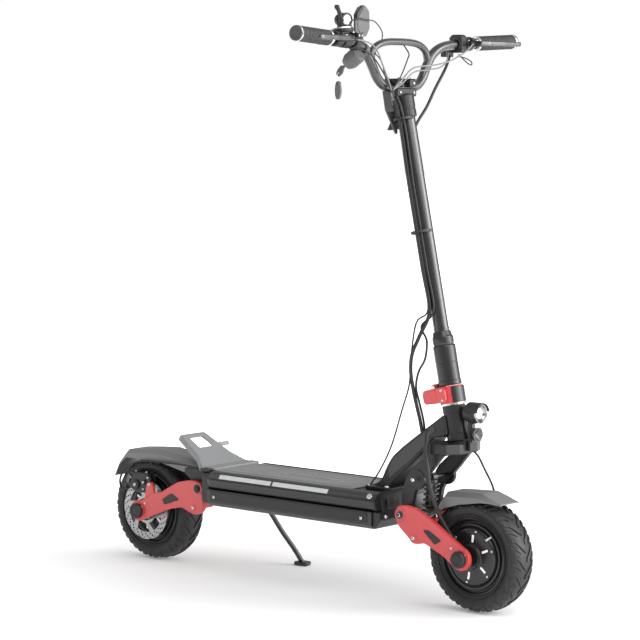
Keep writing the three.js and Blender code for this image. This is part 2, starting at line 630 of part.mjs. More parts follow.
// ---------------------------------------------------------------- cables
function makeCables() {
  const stemRun = [[287, -48, 1216], [294, -41, 1185], [292, -38, 1150]];
  stemRun.push(stemAt(1118, 4, -30), stemAt(1060, -7, -26));
  for (const z of [960, 860, 760, 670]) stemRun.push(stemAt(z, -12, -23));
  stemRun.push([352, -36, 610], [338, -44, 570], [334, -44, 532], [334, -36, 494]);
  stemRun.push([336, -26, 456], [342, -20, 420], [346, -18, 397]);
  put("stem_cables", tube(stemRun, 5.5, 8, 36), rubber);
  const lead = [
    [392, -66, 402], [400, -67, 370], [406, -67, 320], [410, -64, 270], [424, -56, 222],
    [456, -54, 176], [484, -54, 146],
  ];
  put("front_motor_lead", tube(lead, 5, 8, 16), rubber);
  const frontHose = [[475, 16, 352], [484, 34, 316], [494, 49, 280], [500, 54, 250], [500, 54, 222]];
  put("front_brake_hose", tube(frontHose, 2.5, 8, 12), rubber);
  const rearHose = [
    [-272, -62, 240], [-330, -62, 252], [-420, -56, 252], [-520, -52, 246], [-570, -53, 222],
    [-588, -54, 194], [-580, -54, 170], [-560, -54, 176],
  ];
  put("rear_brake_hose", tube(rearHose, 2.5, 8, 18), rubber);
}

function makeKickstand() {
  const leg = tube([[-214, 74, 152], [-205, 86, 134], [-188, 116, 78], [-164, 158, 4]], 6, 8, 8);
  const knuckle = cross(STAND_PIVOT, 10, 57.4, 84, 12);
  const bore = cross(STAND_PIVOT, 4.4, 50, 90, 12);
  const foot = slabXY([[-182, 142], [-148, 142], [-142, 150], [-148, 172], [-182, 172]], 0, 9);
  put("kickstand", cut(join(knuckle, leg, foot), bore), blackPaint);
}

makeDeck();
makeNeck();
makeRearBracket();
makeKickplate();
makeRearFender();
makeFrontSwingarm();
makeRearSwingarm();
makeAxle("front_axle", AXLE_X);
makeAxle("rear_axle", -AXLE_X);
makeWheel("front", AXLE_X, 1);
makeWheel("rear", -AXLE_X, -1);
makeCaliper("front_caliper", AXLE_X, 1);
makeCaliper("rear_caliper", -AXLE_X, -1);
makeShock("front", FRONT_SHOCK);
makeShock("rear", REAR_SHOCK);
makeFork();
makeFrontFender();
makeHeadlight();
makeFoldBase();
makeStem();
makeBarClamp();
makeHandlebar();
makeControls();
makeCables();
makeKickstand();

export default scooter;
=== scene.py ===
"""Electric kick scooter: the finished pieces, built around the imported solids."""

from math import cos, pi, radians, sin, tan

import bmesh
import bpy
from mathutils import Matrix, Vector


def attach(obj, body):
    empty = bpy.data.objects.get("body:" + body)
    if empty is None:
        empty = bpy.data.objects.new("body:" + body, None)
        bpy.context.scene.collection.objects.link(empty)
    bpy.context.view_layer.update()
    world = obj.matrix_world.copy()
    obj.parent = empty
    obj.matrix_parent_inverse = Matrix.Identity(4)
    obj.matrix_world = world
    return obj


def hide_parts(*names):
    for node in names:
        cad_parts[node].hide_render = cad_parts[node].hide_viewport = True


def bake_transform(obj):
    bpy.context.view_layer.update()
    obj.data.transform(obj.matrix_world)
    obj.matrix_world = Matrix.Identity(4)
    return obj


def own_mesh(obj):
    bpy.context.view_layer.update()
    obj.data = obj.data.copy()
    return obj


bl_info = {
    "name": "Kick scooter",
    "version": (1, 0, 0),
    "blender": (4, 5, 0),
    "location": "3D View > Sidebar > Scooter",
    "description": "Builds the pieces of a suspended electric kick scooter on its frame",
    "category": "Add Mesh",
}

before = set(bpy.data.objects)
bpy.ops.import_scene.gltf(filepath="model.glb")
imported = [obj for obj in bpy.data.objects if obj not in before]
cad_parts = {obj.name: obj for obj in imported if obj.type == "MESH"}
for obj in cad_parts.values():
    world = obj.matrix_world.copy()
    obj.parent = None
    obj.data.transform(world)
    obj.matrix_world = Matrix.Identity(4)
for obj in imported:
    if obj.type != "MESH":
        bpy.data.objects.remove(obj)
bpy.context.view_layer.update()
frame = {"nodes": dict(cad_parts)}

# ------------------------------------------------------------------ driving dimensions, in millimetres
MM = 0.001
TYRE_R = 127.5
AXLE_X = 501.7
WHEELS = {"front": AXLE_X, "rear": -AXLE_X}
ROTOR_Y = 49
ROTOR_R = 75
ARM_MID = 72  # middle of a swingarm plate
ARM_THICK = 12
LEG_MID = 51  # middle of a fork leg or a rear cheek
LEG_THICK = 14
RAKE = radians(12)
STEER = (429, 0, 424)
STEER_AXIS = (-sin(RAKE), 0, cos(RAKE))
DECK_TOP = 251
RAIL_Y = 88
RAIL_Z = 233
RAIL_R = 22
FRONT_PIVOT = (333, 209)
REAR_PIVOT = (-297, 203)
SHOCKS = {"front": ((365, 290), (350, 180)), "rear": ((-350, 238), (-316, 160))}
FOLD = (-34, 78)
BAR_R = 11.2
BAR_X = 264
BAR_Z = 1166
GRIP_IN = 262
GRIP_OUT = 386
HEADLIGHT_Z = 444
HORN_Z = 396
LOCK_Y = -159.5  # the plane the key and its tag hang in
SIDES = (-1, 1)  # right, left
HANDS = ((-1, "right"), (1, "left"))
FORWARD = (1, 0, 0)
UP = (0, 0, 1)
SHARP = 32  # edges sharper than this stay crisp, in degrees
SMALL_SCREW = [(0, 0), (2.6, 0), (2.6, 0.9), (1.8, 1.7), (0, 1.9)]
MAT_STUD = [(0, 0), (2.4, 0), (1.5, 0.9), (0, 0.9)]

RAKED = Matrix.Translation(STEER) @ Matrix.Rotation(-RAKE, 4, "Y")
# a flat outline stood up in X and Z, and in Y and Z
ACROSS = Matrix(((1, 0, 0, 0), (0, 0, -1, 0), (0, 1, 0, 0), (0, 0, 0, 1)))
ALONG = Matrix(((0, 0, 1, 0), (1, 0, 0, 0), (0, 1, 0, 0), (0, 0, 0, 1)))


def across(y):
    """Stands a flat outline up in X and Z, with its middle at y."""
    return Matrix.Translation((0, y, 0)) @ ACROSS


def along(x):
    """Stands a flat outline up in Y and Z, with its middle at x."""
    return Matrix.Translation((x, 0, 0)) @ ALONG


def level(z):
    """Lifts a flat outline to the height z."""
    return Matrix.Translation((0, 0, z))


# ------------------------------------------------------------------ outlines
def rounded(points, radius, steps=4, closed=True):
    """The outline with its corners rounded off."""
    out = []
    last = len(points) - 1
    for i, corner in enumerate(points):
        here = Vector(corner)
        if not closed and i in (0, last):
            out.append(tuple(here))
            continue
        before = Vector(points[i - 1]) - here
        after = Vector(points[(i + 1) % len(points)]) - here
        reach = min(radius, 0.45 * before.length, 0.45 * after.length)
        start = here + before.normalized() * reach
        end = here + after.normalized() * reach
        for k in range(steps + 1):
            t = k / steps
            out.append(tuple(start * (1 - t) ** 2 + here * 2 * t * (1 - t) + end * t * t))
    return out


def circle(cx, cz, radius, count=24):
    """Points on a circle."""
    return [
        (cx + radius * cos(2 * pi * k / count), cz + radius * sin(2 * pi * k / count)) for k in range(count)
    ]


def arc(centre, radius, start, end, count):
    """Points on an arc, from one angle to another in degrees."""
    angles = [radians(start + (end - start) * k / count) for k in range(count + 1)]
    return [(centre[0] + radius * cos(a), centre[1] + radius * sin(a)) for a in angles]


def oblong(x0, x1, y0, y1, radius):
    """A rectangle with rounded corners."""
    return rounded([(x0, y0), (x1, y0), (x1, y1), (x0, y1)], radius)


def smooth_path(points, steps):
    """A curve through the points, with the given number of steps between each two."""
    pts = [Vector(p) for p in points]
    pts = [2 * pts[0] - pts[1], *pts, 2 * pts[-1] - pts[-2]]
    path = []
    for a, b, c, d in zip(pts, pts[1:], pts[2:], pts[3:]):
        for k in range(steps):
            t = k / steps
            path.append(
                0.5 * (
                    2 * b + (c - a) * t + (
                        2 * a - 5 * b + 4 * c - d
                    ) * t**2 + (3 * b - a - 3 * c + d) * t**3
                )
            )
    path.append(pts[-2])
    return path


# ------------------------------------------------------------------ solids, each added to a bmesh
def lathe(bm, profile, at, axis, segments=64, looped=False):
    """Adds a turned solid; the profile is (radius, height) pairs along the axis."""
    turn = Vector((0, 0, 1)).rotation_difference(Vector(axis)).to_matrix().to_4x4()
    place = Matrix.Translation(at) @ turn
    rings = []
    for radius, height in profile:
        count = segments if radius > 1e-3 else 1
        rings.append(
            [
                bm.verts.new(
                    place @ Vector(
                        (radius * cos(2 * pi * k / count), radius * sin(2 * pi * k / count), height)
                    )
                ) for k in range(count)
            ]
        )
    pairs = list(zip(rings, rings[1:]))
    if looped:
        pairs.append((rings[-1], rings[0]))
    for low, high in pairs:
        for k in range(segments):
            corners = [
                low[k % len(low)], low[(k + 1) % len(low)], high[(k + 1) % len(high)], high[k % len(high)]
            ]
            unique = list(dict.fromkeys(corners))
            if len(unique) > 2:
                bm.faces.new(unique)


def rod(bm, a, b, radius, edge=0.8, segments=32):
    """Adds a round bar with softened ends."""
    run = Vector(b) - Vector(a)
    edge = min(edge, 0.4 * radius, 0.4 * run.length)
    profile = [(0, 0), (radius - edge, 0), (radius - 0.3 * edge, 0.3 * edge), (radius, edge)]
    profile += [(r, run.length - h) for r, h in reversed(profile)]
    lathe(bm, profile, a, run, segments)


def cross(bm, spot, radius, y0, y1, edge=0.8, segments=32):
    """Adds a round bar that runs across the scooter."""
    rod(bm, (spot[0], y0, spot[1]), (spot[0], y1, spot[1]), radius, edge, segments)


def collar(bm, a, b, inner, outer, edge=0.6, segments=48):
    """Adds a ring between two points."""
    run = Vector(b) - Vector(a)
    length = run.length
    profile = [
        (inner, 0), (outer - edge, 0), (outer, edge), (outer, length - edge), (outer - edge, length),
        (inner, length)
    ]
    lathe(bm, profile, a, run, segments, looped=True)


def plate(bm, outline, thickness, place, holes=(), edge=1.0, resolution=2):
    """Adds a plate with rounded rims: a flat curve that is filled, thickened and turned into a mesh."""
    curve = bpy.data.curves.new("outline", "CURVE")
    curve.dimensions = "2D"
    curve.fill_mode = "BOTH"
    curve.extrude = thickness / 2 - edge
    curve.bevel_depth = edge
    curve.bevel_resolution = resolution
    curve.offset = -edge
    for points in (outline, *holes):
        spline = curve.splines.new("POLY")
        spline.points.add(len(points) - 1)
        for knot, (x, y) in zip(spline.points, points):
            knot.co = (x, y, 0, 1)
        spline.use_cyclic_u = True
    holder = bpy.data.objects.new("outline", curve)
    bpy.context.scene.collection.objects.link(holder)
    bpy.context.view_layer.update()
    mesh = bpy.data.meshes.new_from_object(holder.evaluated_get(bpy.context.evaluated_depsgraph_get()))
    mesh.transform(place)
    bm.from_mesh(mesh)
    bpy.data.objects.remove(holder)
    bpy.data.curves.remove(curve)
    bpy.data.meshes.remove(mesh)
    bmesh.ops.remove_doubles(bm, verts=bm.verts, dist=1e-3)


def block(bm, x0, x1, y0, y1, z0, z1, edge=1.0, corner=2.0):
    """Adds a block with rounded upright corners and softened rims."""
    plate(bm, oblong(x0, x1, y0, y1, corner), z1 - z0, level((z0 + z1) / 2), edge=edge)


def tube(bm, points, radius, sides=16, steps=6):
    """Adds a bent round bar or cable through the points, with domed ends."""
    path = smooth_path(points, steps)
    tangents = [(b - a).normalized() for a, b in zip(path, path[1:])]
    tangents.append(tangents[-1])
    side = tangents[0].orthogonal().normalized()
    rings = []
    for i, (spot, tangent) in enumerate(zip(path, tangents)):
        side = (side - tangent * side.dot(tangent)).normalized()
        up = tangent.cross(side)
        sizes = [(radius, 0)]
        if i == 0:
            sizes = [(0.6 * radius, -0.3 * radius), (0.9 * radius, -0.15 * radius), (radius, 0)]
        if i == len(path) - 1:
            sizes = [(radius, 0), (0.9 * radius, 0.15 * radius), (0.6 * radius, 0.3 * radius)]
        for size, ahead in sizes:
            ring = []
            for k in range(sides):
                a = 2 * pi * k / sides
                ring.append(bm.verts.new(spot + tangent * ahead + (side * cos(a) + up * sin(a)) * size))
            rings.append(ring)
    for low, high in zip(rings, rings[1:]):
        for k in range(sides):
            n = (k + 1) % sides
            bm.faces.new((low[k], low[n], high[n], high[k]))
    bm.faces.new(rings[0][::-1])
    bm.faces.new(rings[-1])


def loft(bm, sections):
    """Adds a solid through a list of closed sections with the same number of points."""
    rings = [[bm.verts.new(p) for p in section] for section in sections]
    count = len(rings[0])
    for low, high in zip(rings, rings[1:]):
        for k in range(count):
            n = (k + 1) % count
            bm.faces.new((low[k], low[n], high[n], high[k]))
    bm.faces.new(rings[0][::-1])
    bm.faces.new(rings[-1])


def soften(bm, width, segments=2, angle=25):
    """Rounds every edge that is sharper than the angle."""
    edges = [e for e in bm.edges if len(e.link_faces) == 2 and e.calc_face_angle(0) > radians(angle)]
    bmesh.ops.bevel(
        bm, geom=edges, offset=width, segments=segments, profile=0.5, affect="EDGES", clamp_overlap=True
    )


def evaluated_mesh(obj):
    """The object's mesh as its modifiers leave it."""
    bpy.context.view_layer.update()
    graph = bpy.context.evaluated_depsgraph_get()
    return bpy.data.meshes.new_from_object(obj.evaluated_get(graph))


def new_object(name, data):
    """An object for the data, linked to the scene."""
    obj = bpy.data.objects.new(name, data)
    bpy.context.scene.collection.objects.link(obj)
    return obj


def mesh_from(name, bm):
    """The bmesh as a mesh with its faces turned outward."""
    bmesh.ops.recalc_face_normals(bm, faces=bm.faces)
    mesh = bpy.data.meshes.new(name)
    bm.to_mesh(mesh)
    bm.free()
    return mesh


def metres(vector):
    """A place in millimetres, in metres."""
    return tuple(MM * v for v in vector)


def mark(obj, replaces=()):
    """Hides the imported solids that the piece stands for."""
    if replaces:
        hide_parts(*replaces)
    return obj


def place_on(obj, body, replaces=()):
    """Lets the piece ride on a body."""
    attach(obj, body)
    return mark(obj, replaces)


def piece(name, bm, body, finish, replaces=(), sharp=SHARP, bend=None):
    """Turns a bmesh in millimetres into a finished piece that rides on a body; given a bend, it stays where
    it is and rides on no body.
    """
    mesh = mesh_from(name, bm)
    mesh.transform(Matrix.Scale(MM, 4))
    mesh.materials.append(FINISHES[finish])
    mesh.shade_smooth()
    mesh.set_sharp_from_angle(angle=radians(sharp))
    obj = new_object(name, mesh)
    even = obj.modifiers.new("even shading", "WEIGHTED_NORMAL")
    even.keep_sharp = True
    finished = evaluated_mesh(obj)
    obj.modifiers.clear()
    obj.data = finished
    if bend is None:
        return place_on(obj, body, replaces)
    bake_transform(obj)
    return mark(obj, replaces)


def single(name, body, finish, add, *shape, replaces=(), slot=None, sharp=SHARP, bend=None, **options):
    """A piece that is one shape: add is the function that draws it, followed by what it is given."""
    bm = bmesh.new()
    add(bm, *shape, **options)
    return piece(name, bm, body, finish, replaces, sharp, bend)


def keep_node(node, finish):
    """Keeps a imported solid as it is, with a finish of its own."""
    data = frame["nodes"][node].data
    data.materials.clear()
    data.materials.append(FINISHES[finish])


# ------------------------------------------------------------------ geometry node trees
class Tree:
    """A small helper for wiring a node tree with named inputs."""

    def __init__(self, name, inputs):
        self.tree = bpy.data.node_groups.new(name, "GeometryNodeTree")
        for label, kind in (("Geometry", "NodeSocketGeometry"), *inputs):
            self.tree.interface.new_socket(label, in_out="INPUT", socket_type=kind)
        self.tree.interface.new_socket("Geometry", in_out="OUTPUT", socket_type="NodeSocketGeometry")
        self.given = self.tree.nodes.new("NodeGroupInput").outputs

    def add(self, kind, links=None, **settings):
        node = self.tree.nodes.new(kind)
        for key, value in settings.items():
            setattr(node, key, value)
        for socket, source in (links or {}).items():
            if isinstance(source, (int, float)):
                node.inputs[socket].default_value = source
            else:
                self.tree.links.new(source, node.inputs[socket])
        return node.outputs

    def close(self, geometry):
        whole = self.add("GeometryNodeRealizeInstances", {0: geometry})
        painted = self.add("GeometryNodeSetMaterial", {0: whole[0], "Material": self.given["Finish"]})
        self.add("NodeGroupOutput", {0: painted[0]})
        return self.tree


def ring_tree():
    """Copies the given mesh in a ring about an axis through a centre."""
    t = Tree(
        "copies in a ring",
        (
            ("Copies", "NodeSocketInt"), ("Centre", "NodeSocketVector"), ("Axis", "NodeSocketVector"),
            ("Start", "NodeSocketFloat"), ("Finish", "NodeSocketMaterial"),
        ),
    )
    index = t.add("GeometryNodeInputIndex")
    share = t.add("ShaderNodeMath", {0: index[0], 1: t.given["Copies"]}, operation="DIVIDE")
    angle = t.add("ShaderNodeMath", {0: share[0], 1: 2 * pi, 2: t.given["Start"]}, operation="MULTIPLY_ADD")
    turn = t.add("FunctionNodeAxisAngleToRotation", {"Axis": t.given["Axis"], "Angle": angle[0]})
    swung = t.add("FunctionNodeRotateVector", {0: t.given["Centre"], 1: turn[0]})
    shift = t.add("ShaderNodeVectorMath", {0: t.given["Centre"], 1: swung[0]}, operation="SUBTRACT")
    points = t.add("GeometryNodePoints", {"Count": t.given["Copies"], "Position": shift[0]})
    copies = t.add(
        "GeometryNodeInstanceOnPoints",
        {"Points": points[0], "Instance": t.given["Geometry"], "Rotation": turn[0]}
    )
    return t.close(copies[0])


def row_tree():
    """Copies the given mesh in rows: so many along one step, and so many along another."""
    t = Tree(
        "copies in rows",
        (
            ("Along", "NodeSocketInt"), ("Rows", "NodeSocketInt"), ("Step", "NodeSocketVector"),
            ("Row step", "NodeSocketVector"), ("Finish", "NodeSocketMaterial"),
        ),
    )
    index = t.add("GeometryNodeInputIndex")
    count = t.add("ShaderNodeMath", {0: t.given["Along"], 1: t.given["Rows"]}, operation="MULTIPLY")
    row = t.add("ShaderNodeMath", {0: index[0], 1: t.given["Along"]}, operation="DIVIDE")
    row = t.add("ShaderNodeMath", {0: row[0]}, operation="FLOOR")
    place = t.add("ShaderNodeMath", {0: index[0], 1: t.given["Along"]}, operation="MODULO")
    first = t.add("ShaderNodeVectorMath", {0: t.given["Step"], "Scale": place[0]}, operation="SCALE")
    second = t.add("ShaderNodeVectorMath", {0: t.given["Row step"], "Scale": row[0]}, operation="SCALE")
    shift = t.add("ShaderNodeVectorMath", {0: first[0], 1: second[0]}, operation="ADD")
    points = t.add("GeometryNodePoints", {"Count": count[0], "Position": shift[0]})
    copies = t.add("GeometryNodeInstanceOnPoints", {"Points": points[0], "Instance": t.given["Geometry"]})
    return t.close(copies[0])


def heads_tree():
    """Sets a screw head on each given point, facing along its own direction."""
    t = Tree("screw heads", (("Head", "NodeSocketObject"), ("Finish", "NodeSocketMaterial")))
    head = t.add("GeometryNodeObjectInfo", {"Object": t.given["Head"]})
    facing = t.add("GeometryNodeInputNamedAttribute", data_type="FLOAT_VECTOR")
    size = t.add("GeometryNodeInputNamedAttribute", data_type="FLOAT")
    for node, label in ((facing[0].node, "facing"), (size[0].node, "size")):
        node.inputs["Name"].default_value = label
    turn = t.add("FunctionNodeAlignRotationToVector", {"Vector": facing["Attribute"]}, axis="Z")
    copies = t.add(
        "GeometryNodeInstanceOnPoints",
        {
            "Points": t.given["Geometry"], "Instance": head["Geometry"], "Rotation": turn[0],
            "Scale": size["Attribute"]
        },
    )
    return t.close(copies[0])


def run_tree(obj, tree, values):
    """Runs a geometry node tree on the object and keeps the result as its plain mesh."""
    maker = obj.modifiers.new("repeat", "NODES")
    maker.node_group = tree
    sockets = {s.name: s.identifier for s in tree.interface.items_tree if s.in_out == "INPUT"}
    for label, value in values.items():
        maker[sockets[label]] = value
    finished = evaluated_mesh(obj)
    obj.modifiers.clear()
    finished.shade_smooth()
    finished.set_sharp_from_angle(angle=radians(SHARP))
    obj.data = finished


def repeated(name, bm, tree, body, finish, values):
    """Repeats one shape with a node tree."""
    mesh = mesh_from(name, bm)
    mesh.transform(Matrix.Scale(MM, 4))
    obj = new_object(name, mesh)
    run_tree(obj, tree, {**values, "Finish": FINISHES[finish]})
    return place_on(obj, body)


def ring(name, bm, body, finish, slot, copies, centre, axis=(0, 1, 0), start=0.0):
    """Repeats one shape in a ring."""
    values = {"Copies": copies, "Centre": metres(centre), "Axis": axis, "Start": start}
    return repeated(name, bm, TREES["ring"], body, finish, values)


def head_shape():
    """One screw head of unit size, standing on the origin and facing +Z."""
    bm = bmesh.new()
    dome = [(1, 0), (1, 0.25), (0.9, 0.5), (0.7, 0.68), (0.48, 0.75), (0.46, 0.35), (0, 0.35)]
    lathe(bm, [(0, 0), *dome], (0, 0, 0), UP, 24)
    return new_object("screw head", mesh_from("screw head", bm))


def screws(name, body, spots):
    """Sets screw heads at ((x, y, z), (facing), radius) places."""
    mesh = bpy.data.meshes.new(name)
    mesh.from_pydata([metres(spot) for spot, _, _ in spots], [], [])
    facing = mesh.attributes.new("facing", "FLOAT_VECTOR", "POINT")
    facing.data.foreach_set("vector", [v for _, direction, _ in spots for v in direction])
    size = mesh.attributes.new("size", "FLOAT", "POINT")
    size.data.foreach_set("value", [MM * radius for _, _, radius in spots])
    obj = new_object(name, mesh)
    shape = head_shape()
    run_tree(obj, TREES["heads"], {"Head": shape, "Finish": FINISHES["steel"]})
    bpy.data.objects.remove(shape)
    return place_on(obj, body)


# ------------------------------------------------------------------ shader groups and finishes
TREES = {}
FINISHES = {}


class Shade:
    """A small helper for wiring shader nodes."""

    def __init__(self, tree):
        self.tree = tree

    def add(self, kind, links=None, **settings):
        node = self.tree.nodes.new(kind)
        for key, value in settings.items():
            setattr(node, key, value)
        for socket, source in (links or {}).items():
            if isinstance(source, bpy.types.NodeSocket):
                self.tree.links.new(source, node.inputs[socket])
            else:
                node.inputs[socket].default_value = source
        return node.outputs


def shader_group(name, inputs, outputs):
    """A shader node group with named inputs and outputs."""
    tree = bpy.data.node_groups.new(name, "ShaderNodeTree")
    for label, kind, default in inputs:
        tree.interface.new_socket(label, in_out="INPUT", socket_type=kind).default_value = default
    for label, kind in outputs:
        tree.interface.new_socket(label, in_out="OUTPUT", socket_type=kind)
    s = Shade(tree)
    return s, s.add("NodeGroupInput")


def grain_group():
    """Clouded colour, uneven gloss and a fine grain, over the object's own coordinates."""
    number, colour = "NodeSocketFloat", "NodeSocketColor"
    s, given = shader_group(
        "surface grain",
        (
            ("Light colour", colour, (0.5, 0.5, 0.5, 1)), ("Dark colour", colour, (0.4, 0.4, 0.4, 1)),
            ("Low roughness", number, 0.4), ("High roughness", number, 0.5), ("Cloud scale", number, 14.0),
            ("Grain scale", number, 900.0),
        ),
        (("Colour", colour), ("Roughness", number), ("Height", number)),
    )
    place = s.add("ShaderNodeTexCoord")["Object"]
    cloud = s.add("ShaderNodeTexNoise", {"Vector": place, "Scale": given["Cloud scale"], "Detail": 4.0})
    grain = s.add("ShaderNodeTexNoise", {"Vector": place, "Scale": given["Grain scale"], "Detail": 2.0})
    soft = s.add("ShaderNodeMapRange", {"Value": cloud["Fac"], "From Min": 0.3, "From Max": 0.7})
    blended = s.add("ShaderNodeMath", {0: soft[0], 1: grain["Fac"]}, operation="MULTIPLY")
    colour_out = s.add("ShaderNodeMix", {"Factor": blended[0]}, data_type="RGBA")
    mix = colour_out[0].node
    s.tree.links.new(given["Dark colour"], mix.inputs[6])
    s.tree.links.new(given["Light colour"], mix.inputs[7])
    rough = s.add(
        "ShaderNodeMapRange",
        {"Value": cloud["Fac"], "To Min": given["Low roughness"], "To Max": given["High roughness"]},
    )
    s.add("NodeGroupOutput", {"Colour": mix.outputs[2], "Roughness": rough[0], "Height": grain["Fac"]})
    return s.tree


def lines_group():
    """Fine turned lines about a centre, as a lathe or a grinder leaves them."""
    s, given = shader_group(
        "turned lines", (("Centre", "NodeSocketVector", (0, 0, 0)), ("Pitch", "NodeSocketFloat", 900.0)),
        (("Value", "NodeSocketFloat"),),
    )
    place = s.add("ShaderNodeTexCoord")["Object"]
    out = s.add("ShaderNodeVectorMath", {0: place, 1: given["Centre"]}, operation="SUBTRACT")
    flat = s.add("ShaderNodeVectorMath", {0: out[0], 1: (1, 0, 1)}, operation="MULTIPLY")
    radius = s.add("ShaderNodeVectorMath", {0: flat[0]}, operation="LENGTH")
    noise = s.add(
        "ShaderNodeTexNoise", {"W": radius["Value"], "Scale": given["Pitch"], "Detail": 3.0},
        noise_dimensions="1D"
    )
    s.add("NodeGroupOutput", {"Value": noise["Fac"]})
    return s.tree


def weave_group():
    """A raised lozenge pattern on the top of a mat."""
    s, given = shader_group(
        "lozenge", (("Scale", "NodeSocketFloat", 90.0),), (("Value", "NodeSocketFloat"),)
    )
    place = s.add("ShaderNodeTexCoord")["Object"]
    cells = s.add(
        "ShaderNodeTexVoronoi", {"Vector": place, "Scale": given["Scale"], "Randomness": 0.15},
        distance="CHEBYCHEV", voronoi_dimensions="3D",
    )
    s.add("NodeGroupOutput", {"Value": cells["Distance"]})
    return s.tree


GROUPS = {}


def grey(value, tint=0.0):
    """A grey, warmer or cooler by the tint."""
    return (value * (1 - tint), value, value * (1 + tint), 1)


def finish(
    name, light, dark, rough, metallic=0.0, coat=0.0, cloud=14.0, grain=900.0, bump=0.06, depth=0.0003
):
    """One painted, moulded or rubber surface."""
    material = bpy.data.materials.new(name)
    material.use_nodes = True
    s = Shade(material.node_tree)
    shader = material.node_tree.nodes["Principled BSDF"]
    surface = s.add("ShaderNodeGroup", node_tree=GROUPS["grain"])
    inputs = surface[0].node.inputs
    inputs["Light colour"].default_value = light
    inputs["Dark colour"].default_value = dark
    inputs["Low roughness"].default_value, inputs["High roughness"].default_value = rough
    inputs["Cloud scale"].default_value = cloud
    inputs["Grain scale"].default_value = grain
    raised = s.add("ShaderNodeBump", {"Height": surface["Height"], "Strength": bump, "Distance": depth})
    s.tree.links.new(surface["Colour"], shader.inputs["Base Color"])
    s.tree.links.new(surface["Roughness"], shader.inputs["Roughness"])
    s.tree.links.new(raised[0], shader.inputs["Normal"])
    shader.inputs["Metallic"].default_value = metallic
    shader.inputs["Coat Weight"].default_value = coat
    shader.inputs["Coat Roughness"].default_value = 0.25
    FINISHES[name] = material
    return material, s, shader, surface, raised


def glow(name, colour, strength):
    """A white part: a lamp's lit lens, or a painted glow on a part that is no lamp, which makes it look
    see-through.
    """
    _, s, shader, surface, _ = finish(name, colour, colour, (0.2, 0.35), grain=300)
    s.tree.links.new(surface["Colour"], shader.inputs["Emission Color"])
    shader.inputs["Emission Strength"].default_value = strength


def turned_metal(name, centre, light, rough):
    """Ground steel with fine lines about the wheel's centre."""
    _, s, shader, _, raised = finish(name, grey(light), grey(light * 0.8), rough, metallic=1.0)
    lines = s.add("ShaderNodeGroup", {}, node_tree=GROUPS["lines"])
    lines[0].node.inputs["Centre"].default_value = metres(centre)
    s.tree.links.new(lines["Value"], raised[0].node.inputs["Height"])
    raised[0].node.inputs["Strength"].default_value = 0.25


def make_finishes(colours):
    GROUPS.update(grain=grain_group(), lines=lines_group(), lozenge=weave_group())
    frame_black = tuple(colours.frame)
    arm_red = tuple(colours.arms)
    fender_grey = tuple(colours.fenders)
    mat_grey = tuple(colours.mat)

    def shade(colour, factor):
        return tuple(factor * c for c in colour[:3]) + (1,)

    finish("satin_black", frame_black, shade(frame_black, 0.7), (0.27, 0.37), coat=0.25)
    finish("stem_black", shade(frame_black, 0.8), shade(frame_black, 0.6), (0.2, 0.3), coat=1.0)
    finish("cast_black", frame_black, shade(frame_black, 0.7), (0.34, 0.46), grain=500, bump=0.12)
    finish("arm_red", arm_red, shade(arm_red, 0.86), (0.3, 0.4), coat=0.4, bump=0.05)
    finish("fender_grey", fender_grey, shade(fender_grey, 0.85), (0.36, 0.46), coat=0.3, bump=0.08)
    finish(
        "plate_grey", shade(fender_grey, 1.7), shade(fender_grey, 1.55), (0.4, 0.5), metallic=0.25,
        bump=0.08
    )
    finish("wedge_grey", shade(fender_grey, 0.5), shade(fender_grey, 0.4), (0.36, 0.46), metallic=0.3)
    finish("tyre_rubber", grey(0.02), grey(0.012), (0.42, 0.58), cloud=30, grain=1400, bump=0.2)
    finish("cable_rubber", grey(0.016), grey(0.01), (0.42, 0.55), cloud=60, grain=1200)
    finish("pale_hose", grey(0.22), grey(0.15), (0.3, 0.42), cloud=60)
    finish("grip_rubber", grey(0.075), grey(0.05), (0.6, 0.75), cloud=50, grain=1500, bump=0.2)
    finish("black_plastic", grey(0.022), grey(0.013), (0.4, 0.52), cloud=25, grain=1300, bump=0.12)
    finish("grey_plastic", grey(0.11), grey(0.08), (0.42, 0.55), cloud=25, grain=1300, bump=0.12)
    finish("steel", grey(0.75), grey(0.6), (0.2, 0.32), metallic=1.0, cloud=80)
    finish("dark_steel", grey(0.16), grey(0.1), (0.28, 0.4), metallic=0.9, cloud=60)
    finish("chrome", grey(0.85), grey(0.8), (0.06, 0.12), metallic=1.0)
    finish("dull_chrome", grey(0.42), grey(0.34), (0.16, 0.26), metallic=1.0)
    finish("screen_glass", grey(0.02), grey(0.012), (0.05, 0.1), coat=1.0, bump=0.0)
    glow("lens_white", (0.7, 0.72, 0.74, 1), 0.25)
    glow("strip_white", (0.56, 0.57, 0.57, 1), 0.0)
    # painted glow: the motor's slots are no lamps, their glow makes them look see-through
    glow("slot_glow_painted", (0.8, 0.8, 0.8, 1), 0.3)
    for end, x in WHEELS.items():
        turned_metal(end + "_disc_steel", (x, 0, TYRE_R), 0.4, (0.26, 0.38))
    _, s, shader, _, raised = finish(
        "deck_mat", mat_grey, shade(mat_grey, 0.75), (0.5, 0.62), cloud=9, grain=1600
    )
    cells = s.add("ShaderNodeGroup", {}, node_tree=GROUPS["lozenge"])
    cells[0].node.inputs["Scale"].default_value = 160.0
    s.tree.links.new(cells["Value"], raised[0].node.inputs["Height"])
    raised[0].node.inputs["Strength"].default_value = 0.5
    raised[0].node.inputs["Distance"].default_value = 0.0008


